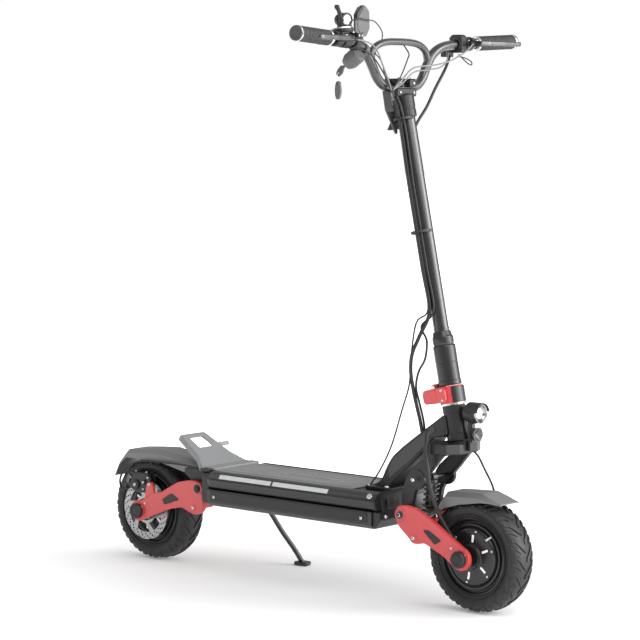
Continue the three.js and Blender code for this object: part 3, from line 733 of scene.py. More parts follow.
# ------------------------------------------------------------------ deck
def make_deck(sizes):
    bm = bmesh.new()
    outer = [(-86, DECK_TOP), (-86, 211), (-102, 211), (-102, 180), (-92, 170)]
    outer += [(-y, z) for y, z in reversed(outer)]
    plate(bm, rounded(outer, 3), 511, along(12.5), edge=1.2)
    ear = [(-228, 171), (-200, 171), (-203, 150), (-214, 145), (-225, 150)]
    plate(bm, rounded(ear, 4), 11, across(51.5), edge=1)
    cross(bm, (-214, 156), 4, 50, 86)
    piece("deck_shell_body", bm, "chassis", "satin_black", ("deck_shell",))

    bm = bmesh.new()
    for side in SIDES:
        plate(bm, oblong(-232, 256, 183.5, 207.5, 4), 2.4, across(side * 102.4), edge=0.8)
    piece("deck_side_panels", bm, "chassis", "cast_black")

    bm = bmesh.new()
    mat = [(-238, -82), (190, -82), (190, 82), (-238, 82)]
    plate(bm, rounded(mat, 14, steps=6), 2.4, level(DECK_TOP + 1.6), edge=0.7)
    for y in (-64, 64):
        plate(bm, oblong(-226, 178, y - 2, y + 2, 1.9), 1.6, level(DECK_TOP + 2.9), edge=0.5)
    plate(bm, oblong(-60, 66, -11, 11, 4), 1.6, level(DECK_TOP + 2.9), edge=0.5)
    piece("deck_mat", bm, "chassis", "deck_mat", ("grip_mat",))

    pitch = sizes.stud_pitch
    for side, hand in HANDS:
        bm = bmesh.new()
        lathe(bm, MAT_STUD, (-222, side * 54, DECK_TOP + 2.7), UP, 6)
        values = {
            "Along": int(392 / pitch), "Rows": int(38 / pitch) + 1, "Step": (pitch * MM, 0, 0),
            "Row step": (0, -side * pitch * MM, 0)
        }
        repeated("deck_mat_studs_" + hand, bm, TREES["rows"], "chassis", "deck_mat", values)

    for node in ("battery_pack", "motor_controller"):
        keep_node(node, "black_plastic")


def rail_section(side, x, scale):
    """One section of a side rail: a half round with a flat inner face."""
    points = [
        (
            x, side * (RAIL_Y + RAIL_R * scale * cos(a)), RAIL_Z + RAIL_R * scale * sin(a)
        ) for a in (radians(-90 + 7.5 * k) for k in range(25))
    ]
    inner = side * (RAIL_Y - 1.6)
    points.append((x, inner, RAIL_Z + RAIL_R * scale))
    points.append((x, inner, RAIL_Z - RAIL_R * scale))
    return points


def make_rails(sizes):
    for side, name in HANDS:
        bm = bmesh.new()
        ends = [(-240, 0.62), (-239.4, 0.74), (-237.5, 0.85), (-234, 0.94), (-229, 0.985), (-223, 1.0)]
        sections = [rail_section(side, x, scale) for x, scale in ends]
        sections += [rail_section(side, x, scale) for x, scale in ((277, 1.0), (281, 0.985), (283, 0.93))]
        loft(bm, sections)
        piece("rail_" + name, bm, "chassis", "satin_black", ("side_rail_" + name,), sharp=40)
        for part, (x0, x1) in enumerate(((-198, -34), (-28, 142))):
            bm = bmesh.new()
            low, high = radians(20), radians(48)
            sections = []
            for x in (x0, x0 + 1, x1 - 1, x1):
                lift = 0.0 if x in (x0, x1) else 0.7
                turn = [low + (high - low) * k / 6 for k in range(7)]
                top = [
                    (
                        x, side * (RAIL_Y + (RAIL_R + lift) * cos(a)), RAIL_Z + (RAIL_R + lift) * sin(a)
                    ) for a in turn
                ]
                under = [
                    (
                        x, side * (RAIL_Y + (RAIL_R - 2) * cos(a)), RAIL_Z + (RAIL_R - 2) * sin(a)
                    ) for a in reversed(turn)
                ]
                sections.append(top + under)
            loft(bm, sections)
            piece(f"light_strip_{name}_{part}", bm, "chassis", "strip_white")
        facing = Vector((0.25, side * 0.8, 0.55)).normalized()
        at = Vector((266, side * (RAIL_Y + 17), RAIL_Z + 13))
        single(
            "charge_port_" + name, "chassis", "steel", lathe,
            [(0, 0), (6.4, 0), (6.4, 3), (5.2, 4), (4.6, 2.8), (0, 2.4)], at, facing, 40
        )
    spots = []
    for side in SIDES:
        spots += [((x, side * 103.4, 194), (0, side, 0), 4.2) for x in (-219, 239)]
    screws("deck_side_bolts", "chassis", spots)


# ------------------------------------------------------------------ neck
def make_neck(sizes):
    bm = bmesh.new()
    arm = [
        (196, 251.6), (236, 272), (251, 304), (268, 330), (302, 358), (350, 392), (396, 424), (418, 440),
        (428, 388), (385, 383), (372, 361), (320, 312), (282, 281), (266, 262), (264, 251.6)
    ]
    plate(bm, rounded(arm, 12), 60, across(0), edge=5, resolution=3)
    block(bm, 200, 276, -46, 46, 251.6, 259, edge=1.6, corner=9)
    chin = [(268.4, 174), (276, 174), (290, 192), (289, 210.5), (268.4, 210.5)]
    plate(bm, rounded(chin, 3), 196, across(0), edge=2)
    brow = [(268.4, 204), (289, 204), (288, 214), (280, 250), (276, 255), (268.4, 255)]
    plate(bm, rounded(brow, 3), 170, across(0), edge=2)
    head = [
        (17.6, -46), (25, -46), (26, -45), (26, -30), (25.2, -29), (25.2, 17), (26, 18), (26, 33),
        (25, 34), (17.6, 34)
    ]
    lathe(bm, head, STEER, STEER_AXIS, 72, looped=True)
    piece("neck_casting", bm, "chassis", "cast_black", ("neck",))
    bm = bmesh.new()
    for side in SIDES:
        raised = [
            (262, 277), (290, 300), (330, 331), (366, 364), (380, 388), (396, 400), (390, 412), (350, 384),
            (304, 352), (274, 328), (258, 300)
        ]
        plate(bm, rounded(raised, 6), 2, across(side * 30.4), edge=0.8)
    piece("neck_side_pads", bm, "chassis", "satin_black")
    keep_node("headset_bearing_lower", "steel")
    keep_node("headset_bearing_upper", "steel")
    spots = [((x, side * 39, 259), (0, 0, 1), 5.5) for x in (212, 262) for side in SIDES]
    screws("neck_base_bolts", "chassis", spots)
    screws(
        "nose_bolts", "chassis",
        [((290, side * y, 200), (1, 0, 0), 4.5) for y in (30, 78) for side in SIDES]
    )
    bm = bmesh.new()
    for side in SIDES:
        plate(bm, oblong(side * 48 - 20, side * 48 + 20, 216, 238, 4), 4, along(288), edge=1)
    piece("nose_light_panel", bm, "chassis", "dark_steel")


# ------------------------------------------------------------------ fork
def make_fork(sizes):
    leg = [(452, 377), (404, 377), (386, 345), (345, 310), (330, 285), (322, 262), (320, 214)]
    leg += arc(FRONT_PIVOT, 13, 190, 350, 8)
    leg += [(352, 240), (356, 258), (369, 276), (402, 310), (436, 349), (452, 351)]
    bm = bmesh.new()
    for side in SIDES:
        plate(bm, rounded(leg, 6), LEG_THICK, across(side * LEG_MID), edge=2.5)
    crown = [(402, -66), (450, -66), (467, -30), (467, 30), (450, 66), (402, 66)]
    plate(bm, rounded(crown, 6), 24, level(364), edge=2.5)
    rod(
        bm, Vector(STEER) - 60 * Vector(STEER_AXIS), Vector(STEER) + 74 * Vector(STEER_AXIS), 15,
        segments=48
    )
    lathe(bm, [(0, -66), (24, -66), (27, -63), (27, -51), (25, -48.4), (0, -48.4)], STEER, STEER_AXIS, 64)
    for side in SIDES:
        cross(bm, FRONT_PIVOT, 6, side * (LEG_MID - 4), side * 84)
        cross(bm, (363, 290), 24, side * 50, side * 59.6, edge=1.6, segments=48)
    cross(bm, SHOCKS["front"][0], 4, -49, 49)
    piece("fork_casting", bm, "steering", "cast_black", ("fork",))
    bm = bmesh.new()
    for side in SIDES:
        cross(bm, FRONT_PIVOT, 10, side * 78.2, side * 80.4, edge=0.6)
    piece("front_pivot_washers", bm, "steering", "dark_steel")
    spots = [((363, side * 71.5, 290), (0, side, 0), 5) for side in SIDES]
    spots += [((FRONT_PIVOT[0], side * 80.2, FRONT_PIVOT[1]), (0, side, 0), 6) for side in SIDES]
    screws("fork_bolts", "steering", spots)


# ------------------------------------------------------------------ rear bracket and kickplate
def make_rear_bracket(sizes):
    cheek = [(-267, 250), (-306, 249), (-360, 247), (-361, 232), (-350, 226), (-312, 203)]
    cheek += arc(REAR_PIVOT, 13, 180, 300, 6) + [(-267, 180)]
    bm = bmesh.new()
    end = [
        (-94, 180), (-86, 173), (86, 173), (94, 180), (94, 244), (86, DECK_TOP), (-86, DECK_TOP),
        (-94, 244)
    ]
    plate(bm, rounded(end, 4), 24.4, along(-255.8), edge=2.2)
    for side in SIDES:
        plate(bm, rounded(cheek, 5), LEG_THICK, across(side * LEG_MID), edge=2)
        cross(bm, REAR_PIVOT, 6, side * 48, side * 84)
    cross(bm, SHOCKS["rear"][0], 4, -49, 49)
    piece("rear_bracket_block", bm, "chassis", "cast_black", ("rear_bracket",))
    bm = bmesh.new()
    for side in SIDES:
        block(bm, -276, -250, side * 86 - 6, side * 86 + 6, 250, 257, edge=1.5, corner=3)
    piece("kickplate_hinges", bm, "chassis", "black_plastic")
    bm = bmesh.new()
    for side in SIDES:
        cross(bm, REAR_PIVOT, 11, side * 78.2, side * 80.4, edge=0.6)
        cross(bm, REAR_PIVOT, 6.5, side * 78.2, side * 82.4, edge=1)
    piece("rear_pivot_caps", bm, "chassis", "black_plastic")


def make_kickplate(sizes):
    length, low, high = 126, 78, 42
    tilt = 0.5348
    turned = Matrix.Rotation(pi, 4, "Z") @ Matrix.Rotation(-tilt, 4, "Y")
    slope = Matrix.Translation((-280, 0, 258.7)) @ turned
    plan = [(0, -low), (40, -56), (length, -high), (length, high), (40, 56), (0, low)]
    window = [(70, -24), (112, -24), (112, 24), (70, 24)]
    bm = bmesh.new()
    plate(bm, rounded(plan, 6), 4, slope @ level(-2), holes=[rounded(window, 4)], edge=1)
    for side in SIDES:
        strip = [(1, side * low), (40, side * 56), (length, side * high)]
        strip += [(length, side * (high - 4)), (40, side * 52), (5, side * (low - 6))]
        plate(bm, strip, 14, slope @ level(-8), edge=0.8)
    block(bm, -286, -240, -low, low, 253, 258.7, edge=1, corner=5)
    rod(bm, (-354, 40, 293), (-354, 92, 293), 5, edge=2)
    piece("kickplate_sheet", bm, "chassis", "plate_grey", ("kickplate",), sharp=28)


# ------------------------------------------------------------------ fenders
def fender_sheet(bm, stations, thickness=2.6):
    """Adds a folded sheet through (x, z, half width, chamfer, skirt) stations."""
    outer, inner = [], []
    for x, z, half, chamfer, skirt in stations:
        drop = chamfer * 0.75
        ys = [-half, -half, -half + chamfer, half - chamfer, half, half]
        zs = [z - drop - skirt, z - drop, z, z, z - drop, z - drop - skirt]
        outer.append([bm.verts.new((x, y, h)) for y, h in zip(ys, zs)])
        ys = [
            y - thickness * (1 if y > 0 else -1) * (1 if i in (0, 1, 4, 5) else 0.4) for i,
            y in enumerate(ys)
        ]
        zs = [h - (0 if i in (0, 5) else thickness) for i, h in enumerate(zs)]
        inner.append([bm.verts.new((x, y, h)) for y, h in zip(ys, zs)])
    for rows, flip in ((outer, False), (inner, True)):
        for low, high in zip(rows, rows[1:]):
            for k in range(5):
                corners = [low[k], low[k + 1], high[k + 1], high[k]]
                bm.faces.new(corners[::-1] if flip else corners)
    for row_out, row_in in ((outer[0], inner[0]), (outer[-1], inner[-1])):
        for k in range(5):
            bm.faces.new((row_out[k], row_in[k], row_in[k + 1], row_out[k + 1]))
    for k in (0, 5):
        for i in range(len(stations) - 1):
            bm.faces.new((outer[i][k], outer[i + 1][k], inner[i + 1][k], inner[i][k]))
    bmesh.ops.recalc_face_normals(bm, faces=bm.faces)
    soften(bm, 0.5, 1)


def make_fenders(sizes):
    bm = bmesh.new()
    fender_sheet(
        bm,
        [
            (399, 219, 42, 6, 5), (430, 266, 42, 13, 26), (470, 268.5, 42, 13, 17), (526, 271, 42, 13, 10),
            (548, 263, 41, 9, 4), (580, 252, 34, 3, 1)
        ],
    )
    for side in SIDES:
        tongue = [(364, 192), (366, 195), (402, 221), (404, 217)]
        plate(bm, tongue, 18, across(side * 33), edge=0.3)
    piece("front_fender_sheet", bm, "front_arm", "fender_grey", ("front_fender",), sharp=14)
    bm = bmesh.new()
    fender_sheet(
        bm,
        [
            (-268, 254.4, 44, 2, 1), (-304, 254.4, 44, 8, 9), (-376, 266, 44, 13, 24),
            (-461, 279, 44, 13, 20), (-520, 275, 44, 13, 16), (-576, 270, 44, 12, 11),
            (-600, 238, 44, 5, 4), (-621, 202, 40, 2, 1)
        ],
    )
    piece("rear_fender_sheet", bm, "chassis", "fender_grey", ("rear_fender",), sharp=14)
    screws("rear_fender_screws", "chassis", [((-290, y, 254.4), (0, 0, 1), 3.5) for y in (-30, 30)])


# ------------------------------------------------------------------ swingarms and axles
def swingarm(name, body, outline, slot, pivot, lug, bridge, pin, axle_x, replaces, extra=None):
    bm = bmesh.new()
    axle = (axle_x, TYRE_R)
    for side in SIDES:
        plate(
            bm, rounded(outline, 7), ARM_THICK, across(side * ARM_MID), holes=[rounded(slot, 6)], edge=2.2
        )
        cross(bm, pivot, 15.5, side * 64.6, side * 79.4, edge=1.2, segments=48)
        cross(bm, lug, 10.5, side * 65.4, side * 79, edge=1.2)
        cross(bm, axle, 22, side * 65, side * 79, edge=1.4, segments=48)
        if extra and side < 0:
            plate(bm, rounded(extra, 5), 8, across(side * ARM_MID), edge=2)
    # painted shade: a dark sheet fills each slot, where the open slot shows only shade
    slot_shade = bmesh.new()
    for side in SIDES:
        plate(slot_shade, rounded(slot, 4), ARM_THICK - 3, across(side * ARM_MID), edge=0.4)
    piece(name + "_slots", slot_shade, body, "black_plastic")
    x0, x1, z0, z1 = bridge
    for side in SIDES:
        plate(bm, oblong(x0, x1, z0, z1, 6), 56, across(side * 40), edge=1.6)
    cross(bm, pin, 4, -14, 14)
    return piece(name, bm, body, "arm_red", replaces)


def make_swingarms(sizes):
    front = [
        (323, 228), (349, 232), (371, 228), (393, 220), (437, 197), (473, 174),
        *arc((AXLE_X, TYRE_R), 26, 70, -130, 12), (453, 130), (420, 144), (400, 152), (383, 147),
        (367, 148), (359, 157), (341, 171), (328, 182), (320, 194)
    ]
    slot = [(396, 181), (413, 183), (450, 163), (430, 152)]
    swingarm(
        "front_arm_casting", "front_arm", front, slot, FRONT_PIVOT, (371, 160), (341, 363, 169, 191),
        (350, 180), AXLE_X, ("front_swingarm",),
    )
    rear = [
        (-302, 221), (-330, 220), (-364, 213), (-385, 202), (-424, 181), (-445, 178),
        *arc((-AXLE_X, TYRE_R), 26, 75, 310, 14), (-456, 118), (-430, 129), (-396, 142), (-351, 152),
        (-326, 142), (-305, 138), (-287, 144), (-277, 157), (-282, 182), (-284, 206)
    ]
    slot = [(-419, 164), (-385, 183), (-359, 170), (-411, 152)]
    prong = [(-445, 170), (-456, 202), (-472, 201), (-482, 156), (-450, 154)]
    swingarm(
        "rear_arm_casting", "rear_arm", rear, slot, REAR_PIVOT, (-312, 155), (-330, -306, 149, 171),
        (-316, 160), -AXLE_X, ("rear_swingarm",), prong,
    )
    spots = [((371, side * 79, 160), (0, side, 0), 4.6) for side in SIDES]
    spots += [((AXLE_X - 24, side * 78, TYRE_R + 22), (0, side, 0), 3.4) for side in SIDES]
    screws("front_arm_bolts", "front_arm", spots)
    spots = [((-312, side * 79, 155), (0, side, 0), 4.6) for side in SIDES]
    spots += [((-AXLE_X + 24, side * 78, TYRE_R + 20), (0, side, 0), 3.4) for side in SIDES]
    spots.append(((-464, -76, 196), (0, -1, 0), 4.2))
    screws("rear_arm_bolts", "rear_arm", spots)


def make_axles(sizes):
    for end, x in WHEELS.items():
        bm = bmesh.new()
        cross(bm, (x, TYRE_R), 8, -86, 86)
        cap = [(0, 78.4), (17, 78.4), (19, 80), (19, 87), (17, 90), (12, 91), (11, 89.5), (0, 89.5)]
        for side in SIDES:
            lathe(bm, cap, (x, 0, TYRE_R), (0, side, 0), 48)
        piece(end + "_axle_caps", bm, end + "_arm", "black_plastic", (end + "_axle",))
        bm = bmesh.new()
        for side in SIDES:
            plate(
                bm, rounded([(x - 14, 113), (x + 14, 113), (x + 17, 141), (x - 17, 141)], 4), 1.6,
                across(side * 79.4), edge=0.5
            )
        piece(end + "_axle_washers", bm, end + "_arm", "steel")


# ------------------------------------------------------------------ wheels
TYRE_PROFILE = [
    (86, 27), (87, 30), (91, 33), (97, 35.6), (103, 36.8), (108, 37), (112, 36), (116.5, 32.5),
    (120, 27.5), (122.6, 21), (124.3, 12), (124.9, 4)
]


def crown(y):
    """The carcass radius at a distance from the tyre's middle."""
    points = [(h, r) for r, h in reversed(TYRE_PROFILE) if r > 107]
    y = abs(y)
    for (h0, r0), (h1, r1) in zip(points, points[1:]):
        if y <= h1:
            return r0 + (r1 - r0) * max(0.0, (y - h0) / (h1 - h0))
    return points[-1][1]


def tread_block(bm, x, side, stations, height):
    """Adds one tread block that follows the crown: (distance from the middle, angle, half angle) stations."""
    sections = []
    for i, (y, angle, half) in enumerate(stations):
        tip = 0.75 if i in (0, len(stations) - 1) else 1.0
        section = []
        for lean, up in ((-1, -1.2), (-0.82, height * tip), (0.82, height * tip), (1, -1.2)):
            a = radians(angle + half * lean)
            radius = crown(y) + up
            section.append((x + radius * sin(a), side * y, TYRE_R + radius * cos(a)))
        sections.append(section)
    loft(bm, sections)


def make_tyres(sizes):
    profile = TYRE_PROFILE + [(r, -h) for r, h in reversed(TYRE_PROFILE)]
    count = sizes.tread_blocks
    for end, x in WHEELS.items():
        bm = bmesh.new()
        lathe(bm, profile, (x, 0, TYRE_R), (0, 1, 0), 144, looped=True)
        for side in SIDES:
            for radius in (94, 100.5):
                bead = [(radius - 1, 33.4), (radius - 0.6, 36.6), (radius + 0.6, 36.9), (radius + 1, 34)]
                lathe(bm, bead, (x, 0, TYRE_R), (0, side, 0), 144, looped=True)
        piece(end + "_tyre_carcass", bm, end + "_wheel", "tyre_rubber", (end + "_tyre",))
        pitch = 360 / count
        for side, hand in HANDS:
            bm = bmesh.new()
            shift = 0 if side < 0 else pitch / 2
            long_block = [
                (1.2, 7.4, 2.6), (6, 5.4, 3.0), (12, 2.4, 3.3), (19, -1.8, 3.4), (26, -5.4, 3.4),
                (33, -7.2, 3.3)
            ]
            tread_block(bm, x, side, [(y, a + shift, h) for y, a, h in long_block], 2.9)
            short_block = [(17, 8.0, 1.8), (23, 4.6, 2.5), (29, 2.6, 2.7), (35, 1.6, 2.6)]
            tread_block(bm, x, side, [(y, a + shift, h) for y, a, h in short_block], 2.7)
            centre = (x, 0, TYRE_R)
            ring(f"{end}_tread_{hand}", bm, end + "_wheel", "tyre_rubber", "tyre_rubber", count, centre)
            bm = bmesh.new()
            for low, high, tilt in ((105, 110.5, -2.2), (111.5, 115.5, 1.2)):
                section = []
                for radius, a in ((low, tilt - 2.2), (high, tilt - 1.2), (high, tilt + 3), (low, tilt + 2)):
                    section.append((x + radius * sin(radians(a)), radius * cos(radians(a)) + TYRE_R))
                depth = 36.6 if low < 110 else 35.2
                loft(
                    bm,
                    [
                        [(u, side * (depth - 2), v) for u, v in section],
                        [(u, side * (depth + 1), v) for u, v in section]
                    ]
                )
            ring(
                f"{end}_side_blocks_{hand}", bm, end + "_wheel", "tyre_rubber", "tyre_rubber", count,
                centre
            )


def make_motors(sizes):
    for end, x in WHEELS.items():
        body = end + "_wheel"
        rotor_side = 1 if end == "front" else -1
        half = [
            (85.6, 26.6), (87.6, 29), (87.4, 31.4), (85.4, 32.4), (83, 31.6), (81.6, 28.6), (80.6, 25),
            (78, 23.6), (76, 24), (75, 27), (74, 29.6), (71.5, 30.6), (69, 29.8), (68, 27.4), (66.6, 27),
            (65.4, 28.6), (64.4, 33), (62, 35), (58, 35.8), (36, 37.6), (29.6, 38), (28, 39.4), (27.4, 42),
            (26.6, 45), (25, 46), (8.6, 46)
        ]
        profile = half + [(r, -h) for r, h in reversed(half)]
        single(
            end + "_hub_motor", body, "satin_black", lathe, profile, (x, 0, TYRE_R), (0, 1, 0), 96,
            looped=True, replaces=(end + "_motor",), sharp=42
        )
        for side, hand in HANDS:
            bm = bmesh.new()
            slot = oblong(x - 2.6, x + 2.6, TYRE_R + 31, TYRE_R + 51, 2.2)
            lean = Matrix.Rotation(-side * 0.078, 4, "X")
            at = Matrix.Translation(
                (0, side * 37.5, TYRE_R + 41)
            ) @ lean @ Matrix.Translation((0, 0, -(TYRE_R + 41)))
            plate(bm, slot, 1.6, at @ ACROSS, edge=0.4)
            # the slots glow with painted light, so that they look see-through
            ring(
                f"{end}_light_slots_{hand}", bm, body, "slot_glow_painted", "light_grey_paint", 6, (x, 0, TYRE_R),
                start=0.12
            )
            bm = bmesh.new()
            lathe(bm, SMALL_SCREW, (x + 5, side * 35.4, TYRE_R + 58.5), (0, side, 0), 16)
            ring(f"{end}_cover_screws_{hand}", bm, body, "steel", "steel", 6, (x, 0, TYRE_R), start=0.12)
        bm = bmesh.new()
        base = Vector((x + 50, -rotor_side * 27, TYRE_R + 50))
        rod(bm, base, base + Vector((-7, -rotor_side * 9, -7)), 2.6)
        rod(
            bm, base + Vector((-5, -rotor_side * 6.4, -5)), base + Vector((-9, -rotor_side * 11.6, -9)),
            3.3
        )
        piece(end + "_valve", bm, body, "steel")


def make_rotors(sizes):
    for end, x in WHEELS.items():
        side = 1 if end == "front" else -1
        holes = []
        for k in range(6):
            turn = 60 * k
            window = arc((x, TYRE_R), 57, turn, turn + 44, 8)
            window += arc((x, TYRE_R), 35, turn + 28, turn - 12, 6)
            holes.append(rounded(window, 3, steps=3))
        for radius, shift, size in ((61.5, 0, 2.0), (66.5, 5, 2.2), (71, 10, 1.7)):
            for k in range(24):
                a = radians(15 * k + shift)
                holes.append(circle(x + radius * cos(a), TYRE_R + radius * sin(a), size, 10))
        outer = []
        for k in range(96):
            radius = ROTOR_R - (1.6 if k % 8 in (3, 4) else 0.0)
            a = 2 * pi * k / 96
            outer.append((x + radius * cos(a), TYRE_R + radius * sin(a)))
        single(
            end + "_brake_disc", end + "_wheel", end + "_disc_steel", plate, outer, 2.2,
            across(side * ROTOR_Y), holes=[*holes, circle(x, TYRE_R, 20, 32)], edge=0.25, resolution=0,
            replaces=(end + "_rotor",), slot="steel"
        )
        single(
            end + "_disc_carrier", end + "_wheel", "black_plastic", collar, (x, side * 46.3, TYRE_R),
            (x, side * 51.4, TYRE_R), 9, 28, slot="black_paint"
        )
        bm = bmesh.new()
        lathe(bm, SMALL_SCREW, (x + 23, side * 51.2, TYRE_R), (0, side, 0), 16)
        ring(end + "_disc_screws", bm, end + "_wheel", "steel", "steel", 6, (x, 0, TYRE_R))


def make_calipers(sizes):
    shape = [(-60, 66), (-34, 92), (18, 92), (31, 80), (20, 48), (-12, 40), (-34, 48)]
    for end, x, side in (("front", AXLE_X, 1), ("rear", -AXLE_X, -1)):
        points = [(x + a, TYRE_R + b) for a, b in shape]
        bm = bmesh.new()
        plate(bm, rounded(points, 7), 11.5, across(side * 57.6), edge=2.4)
        plate(bm, rounded(points, 7), 4.4, across(side * 44.8), edge=1)
        plate(bm, oblong(x - 44, x + 22, TYRE_R + 80, TYRE_R + 93, 4), 20, across(side * 53), edge=2)
        cross(bm, (x - 20, TYRE_R + 62), 12, side * 58, side * 68, edge=2)
        cross(bm, (x + 8, TYRE_R + 70), 7, side * 58, side * 67, edge=1.5)
        tube(
            bm,
            [
                (x - 44, side * 58, TYRE_R + 76), (x - 52, side * 60, TYRE_R + 66),
                (x - 62, side * 58, TYRE_R + 50)
            ],
            4
        )
        piece(end + "_caliper_body", bm, end + "_arm", "cast_black", (end + "_caliper",))
        spots = [
            ((x - 20, side * 68, TYRE_R + 62), (0, side, 0), 4.4),
            ((x + 8, side * 67, TYRE_R + 70), (0, side, 0), 3.6)
        ]
        spots += [
            ((x + a, side * 63.3, TYRE_R + b), (0, side, 0), 3.2) for a,
            b in ((-40, 78), (20, 82), (4, 52))
        ]
        spots += [((x + a, side * 53, TYRE_R + 93), (0, 0, 1), 3.4) for a in (-30, 6)]
        screws(end + "_caliper_bolts", end + "_arm", spots)
        arm = [(x - 54, TYRE_R + 66), (x - 44, TYRE_R + 62), (x - 36, TYRE_R + 84), (x - 45, TYRE_R + 88)]
        single(
            end + "_caliper_arm", end + "_arm", "dark_steel", plate, rounded(arm, 3), 3,
            across(side * 64.6), edge=0.8
        )


# ------------------------------------------------------------------ shocks
def make_shocks(sizes):
    for end, (top, bottom) in SHOCKS.items():
        at = Vector((top[0], 0, top[1]))
        run = Vector((bottom[0], 0, bottom[1])) - at
        length = run.length
        axis = run.normalized()
        bm = bmesh.new()
        cross(bm, top, 9, -8, 8)
        upper = [
            (0, 6), (10, 6), (11.5, 8), (11.5, 11.5), (18, 12), (18, 15), (11.5, 15.4),
            (11.5, length - 39), (9, length - 38), (7, length - 38), (7, 24), (0, 24)
        ]
        lathe(bm, upper, at, axis, 48)
        piece(end + "_shock_body", bm, end + "_shock_top", "dark_steel", (end + "_shock_upper",))
        bm = bmesh.new()
        cross(bm, bottom, 9, -8, 8)
        lower = [
            (0, 34), (5, 34), (5, length - 22), (18, length - 22), (18, length - 19), (8, length - 18.6),
            (7, length - 6), (0, length - 6)
        ]
        lathe(bm, lower, at, axis, 48)
        piece(end + "_shock_rod_end", bm, end + "_shock_rod", "steel", (end + "_shock_lower",))
        turns = 5.5
        first, last = 17.5, length - 24.5
        side = axis.orthogonal().normalized()
        other = axis.cross(side)
        count = int(turns * 12)
        helix = []
        for k in range(count + 1):
            a = 2 * pi * turns * k / count
            helix.append(
                at + axis * (first + (last - first) * k / count) + (side * cos(a) + other * sin(a)) * 15.2
            )
        bm = bmesh.new()
        tube(bm, helix, 2.3, sides=10, steps=2)
        coil = piece(
            end + "_coil", bm, end + "_shock_top", "dark_steel", (end + "_spring",)
        )
        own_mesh(coil)


# ------------------------------------------------------------------ headlight
def make_headlight(sizes):
    bm = bmesh.new()
    shell = [
        (0, 453), (11, 453.4), (16, 457), (20.5, 464), (22.5, 471), (22.5, 497), (21.6, 498), (20, 498),
        (20, 488), (0, 488)
    ]
    lathe(bm, shell, (0, 0, HEADLIGHT_Z), FORWARD, 64)
    for x in (475, 480, 485):
        collar(bm, (x, 0, HEADLIGHT_Z), (x + 2, 0, HEADLIGHT_Z), 21, 23.4)
    plate(bm, oblong(-9, 9, 358, 428, 3), 8, along(472.5), edge=1.4)
    piece("headlight_housing", bm, "steering", "black_plastic", ("headlight",))
    bm = bmesh.new()
    sections = []
    for x in (469, 503, 505):
        turn = [radians(8 + 164 * k / 24) for k in range(25)]
        reach = 24.2 if x < 504 else 23.8
        section = [(x, reach * cos(a), HEADLIGHT_Z + reach * sin(a)) for a in turn]
        section += [(x, 22.6 * cos(a), HEADLIGHT_Z + 22.6 * sin(a)) for a in reversed(turn)]
        sections.append(section)
    loft(bm, sections)
    piece("headlight_visor", bm, "steering", "black_plastic")
    bm = bmesh.new()
    lathe(
        bm, [(20.4, 494), (22.4, 494), (22.6, 499.4), (21, 500.4), (18.6, 498.6), (18.4, 494)],
        (0, 0, HEADLIGHT_Z), FORWARD, 64, looped=True
    )
    lathe(
        bm, [(0, 488.5), (8, 489), (15, 492), (19, 497.4), (19.6, 497.4), (19.6, 488.2), (0, 488.2)],
        (0, 0, HEADLIGHT_Z), FORWARD, 64
    )
    piece("headlight_reflector", bm, "steering", "dull_chrome")
    single(
        "headlight_lens", "steering", "lens_white", lathe,
        [(0, 491), (11.6, 491), (11.8, 494), (8, 496.4), (0, 497.2)], (0, 0, HEADLIGHT_Z), FORWARD, 48
    )
    bm = bmesh.new()
    lathe(
        bm, [(0, 479), (9, 479), (13, 482), (16, 487), (17, 492), (14, 492), (6, 486), (0, 485)],
        (0, 0, HORN_Z), FORWARD, 48
    )
    plate(bm, oblong(-6, 6, 378, 420, 3), 2.4, along(478.4), edge=0.5)
    piece("horn_bell", bm, "steering", "dark_steel")


# ------------------------------------------------------------------ folding joint and stem
def raked_plate(bm, outline, thickness, y, **options):
    plate(bm, outline, thickness, RAKED @ across(y), **options)


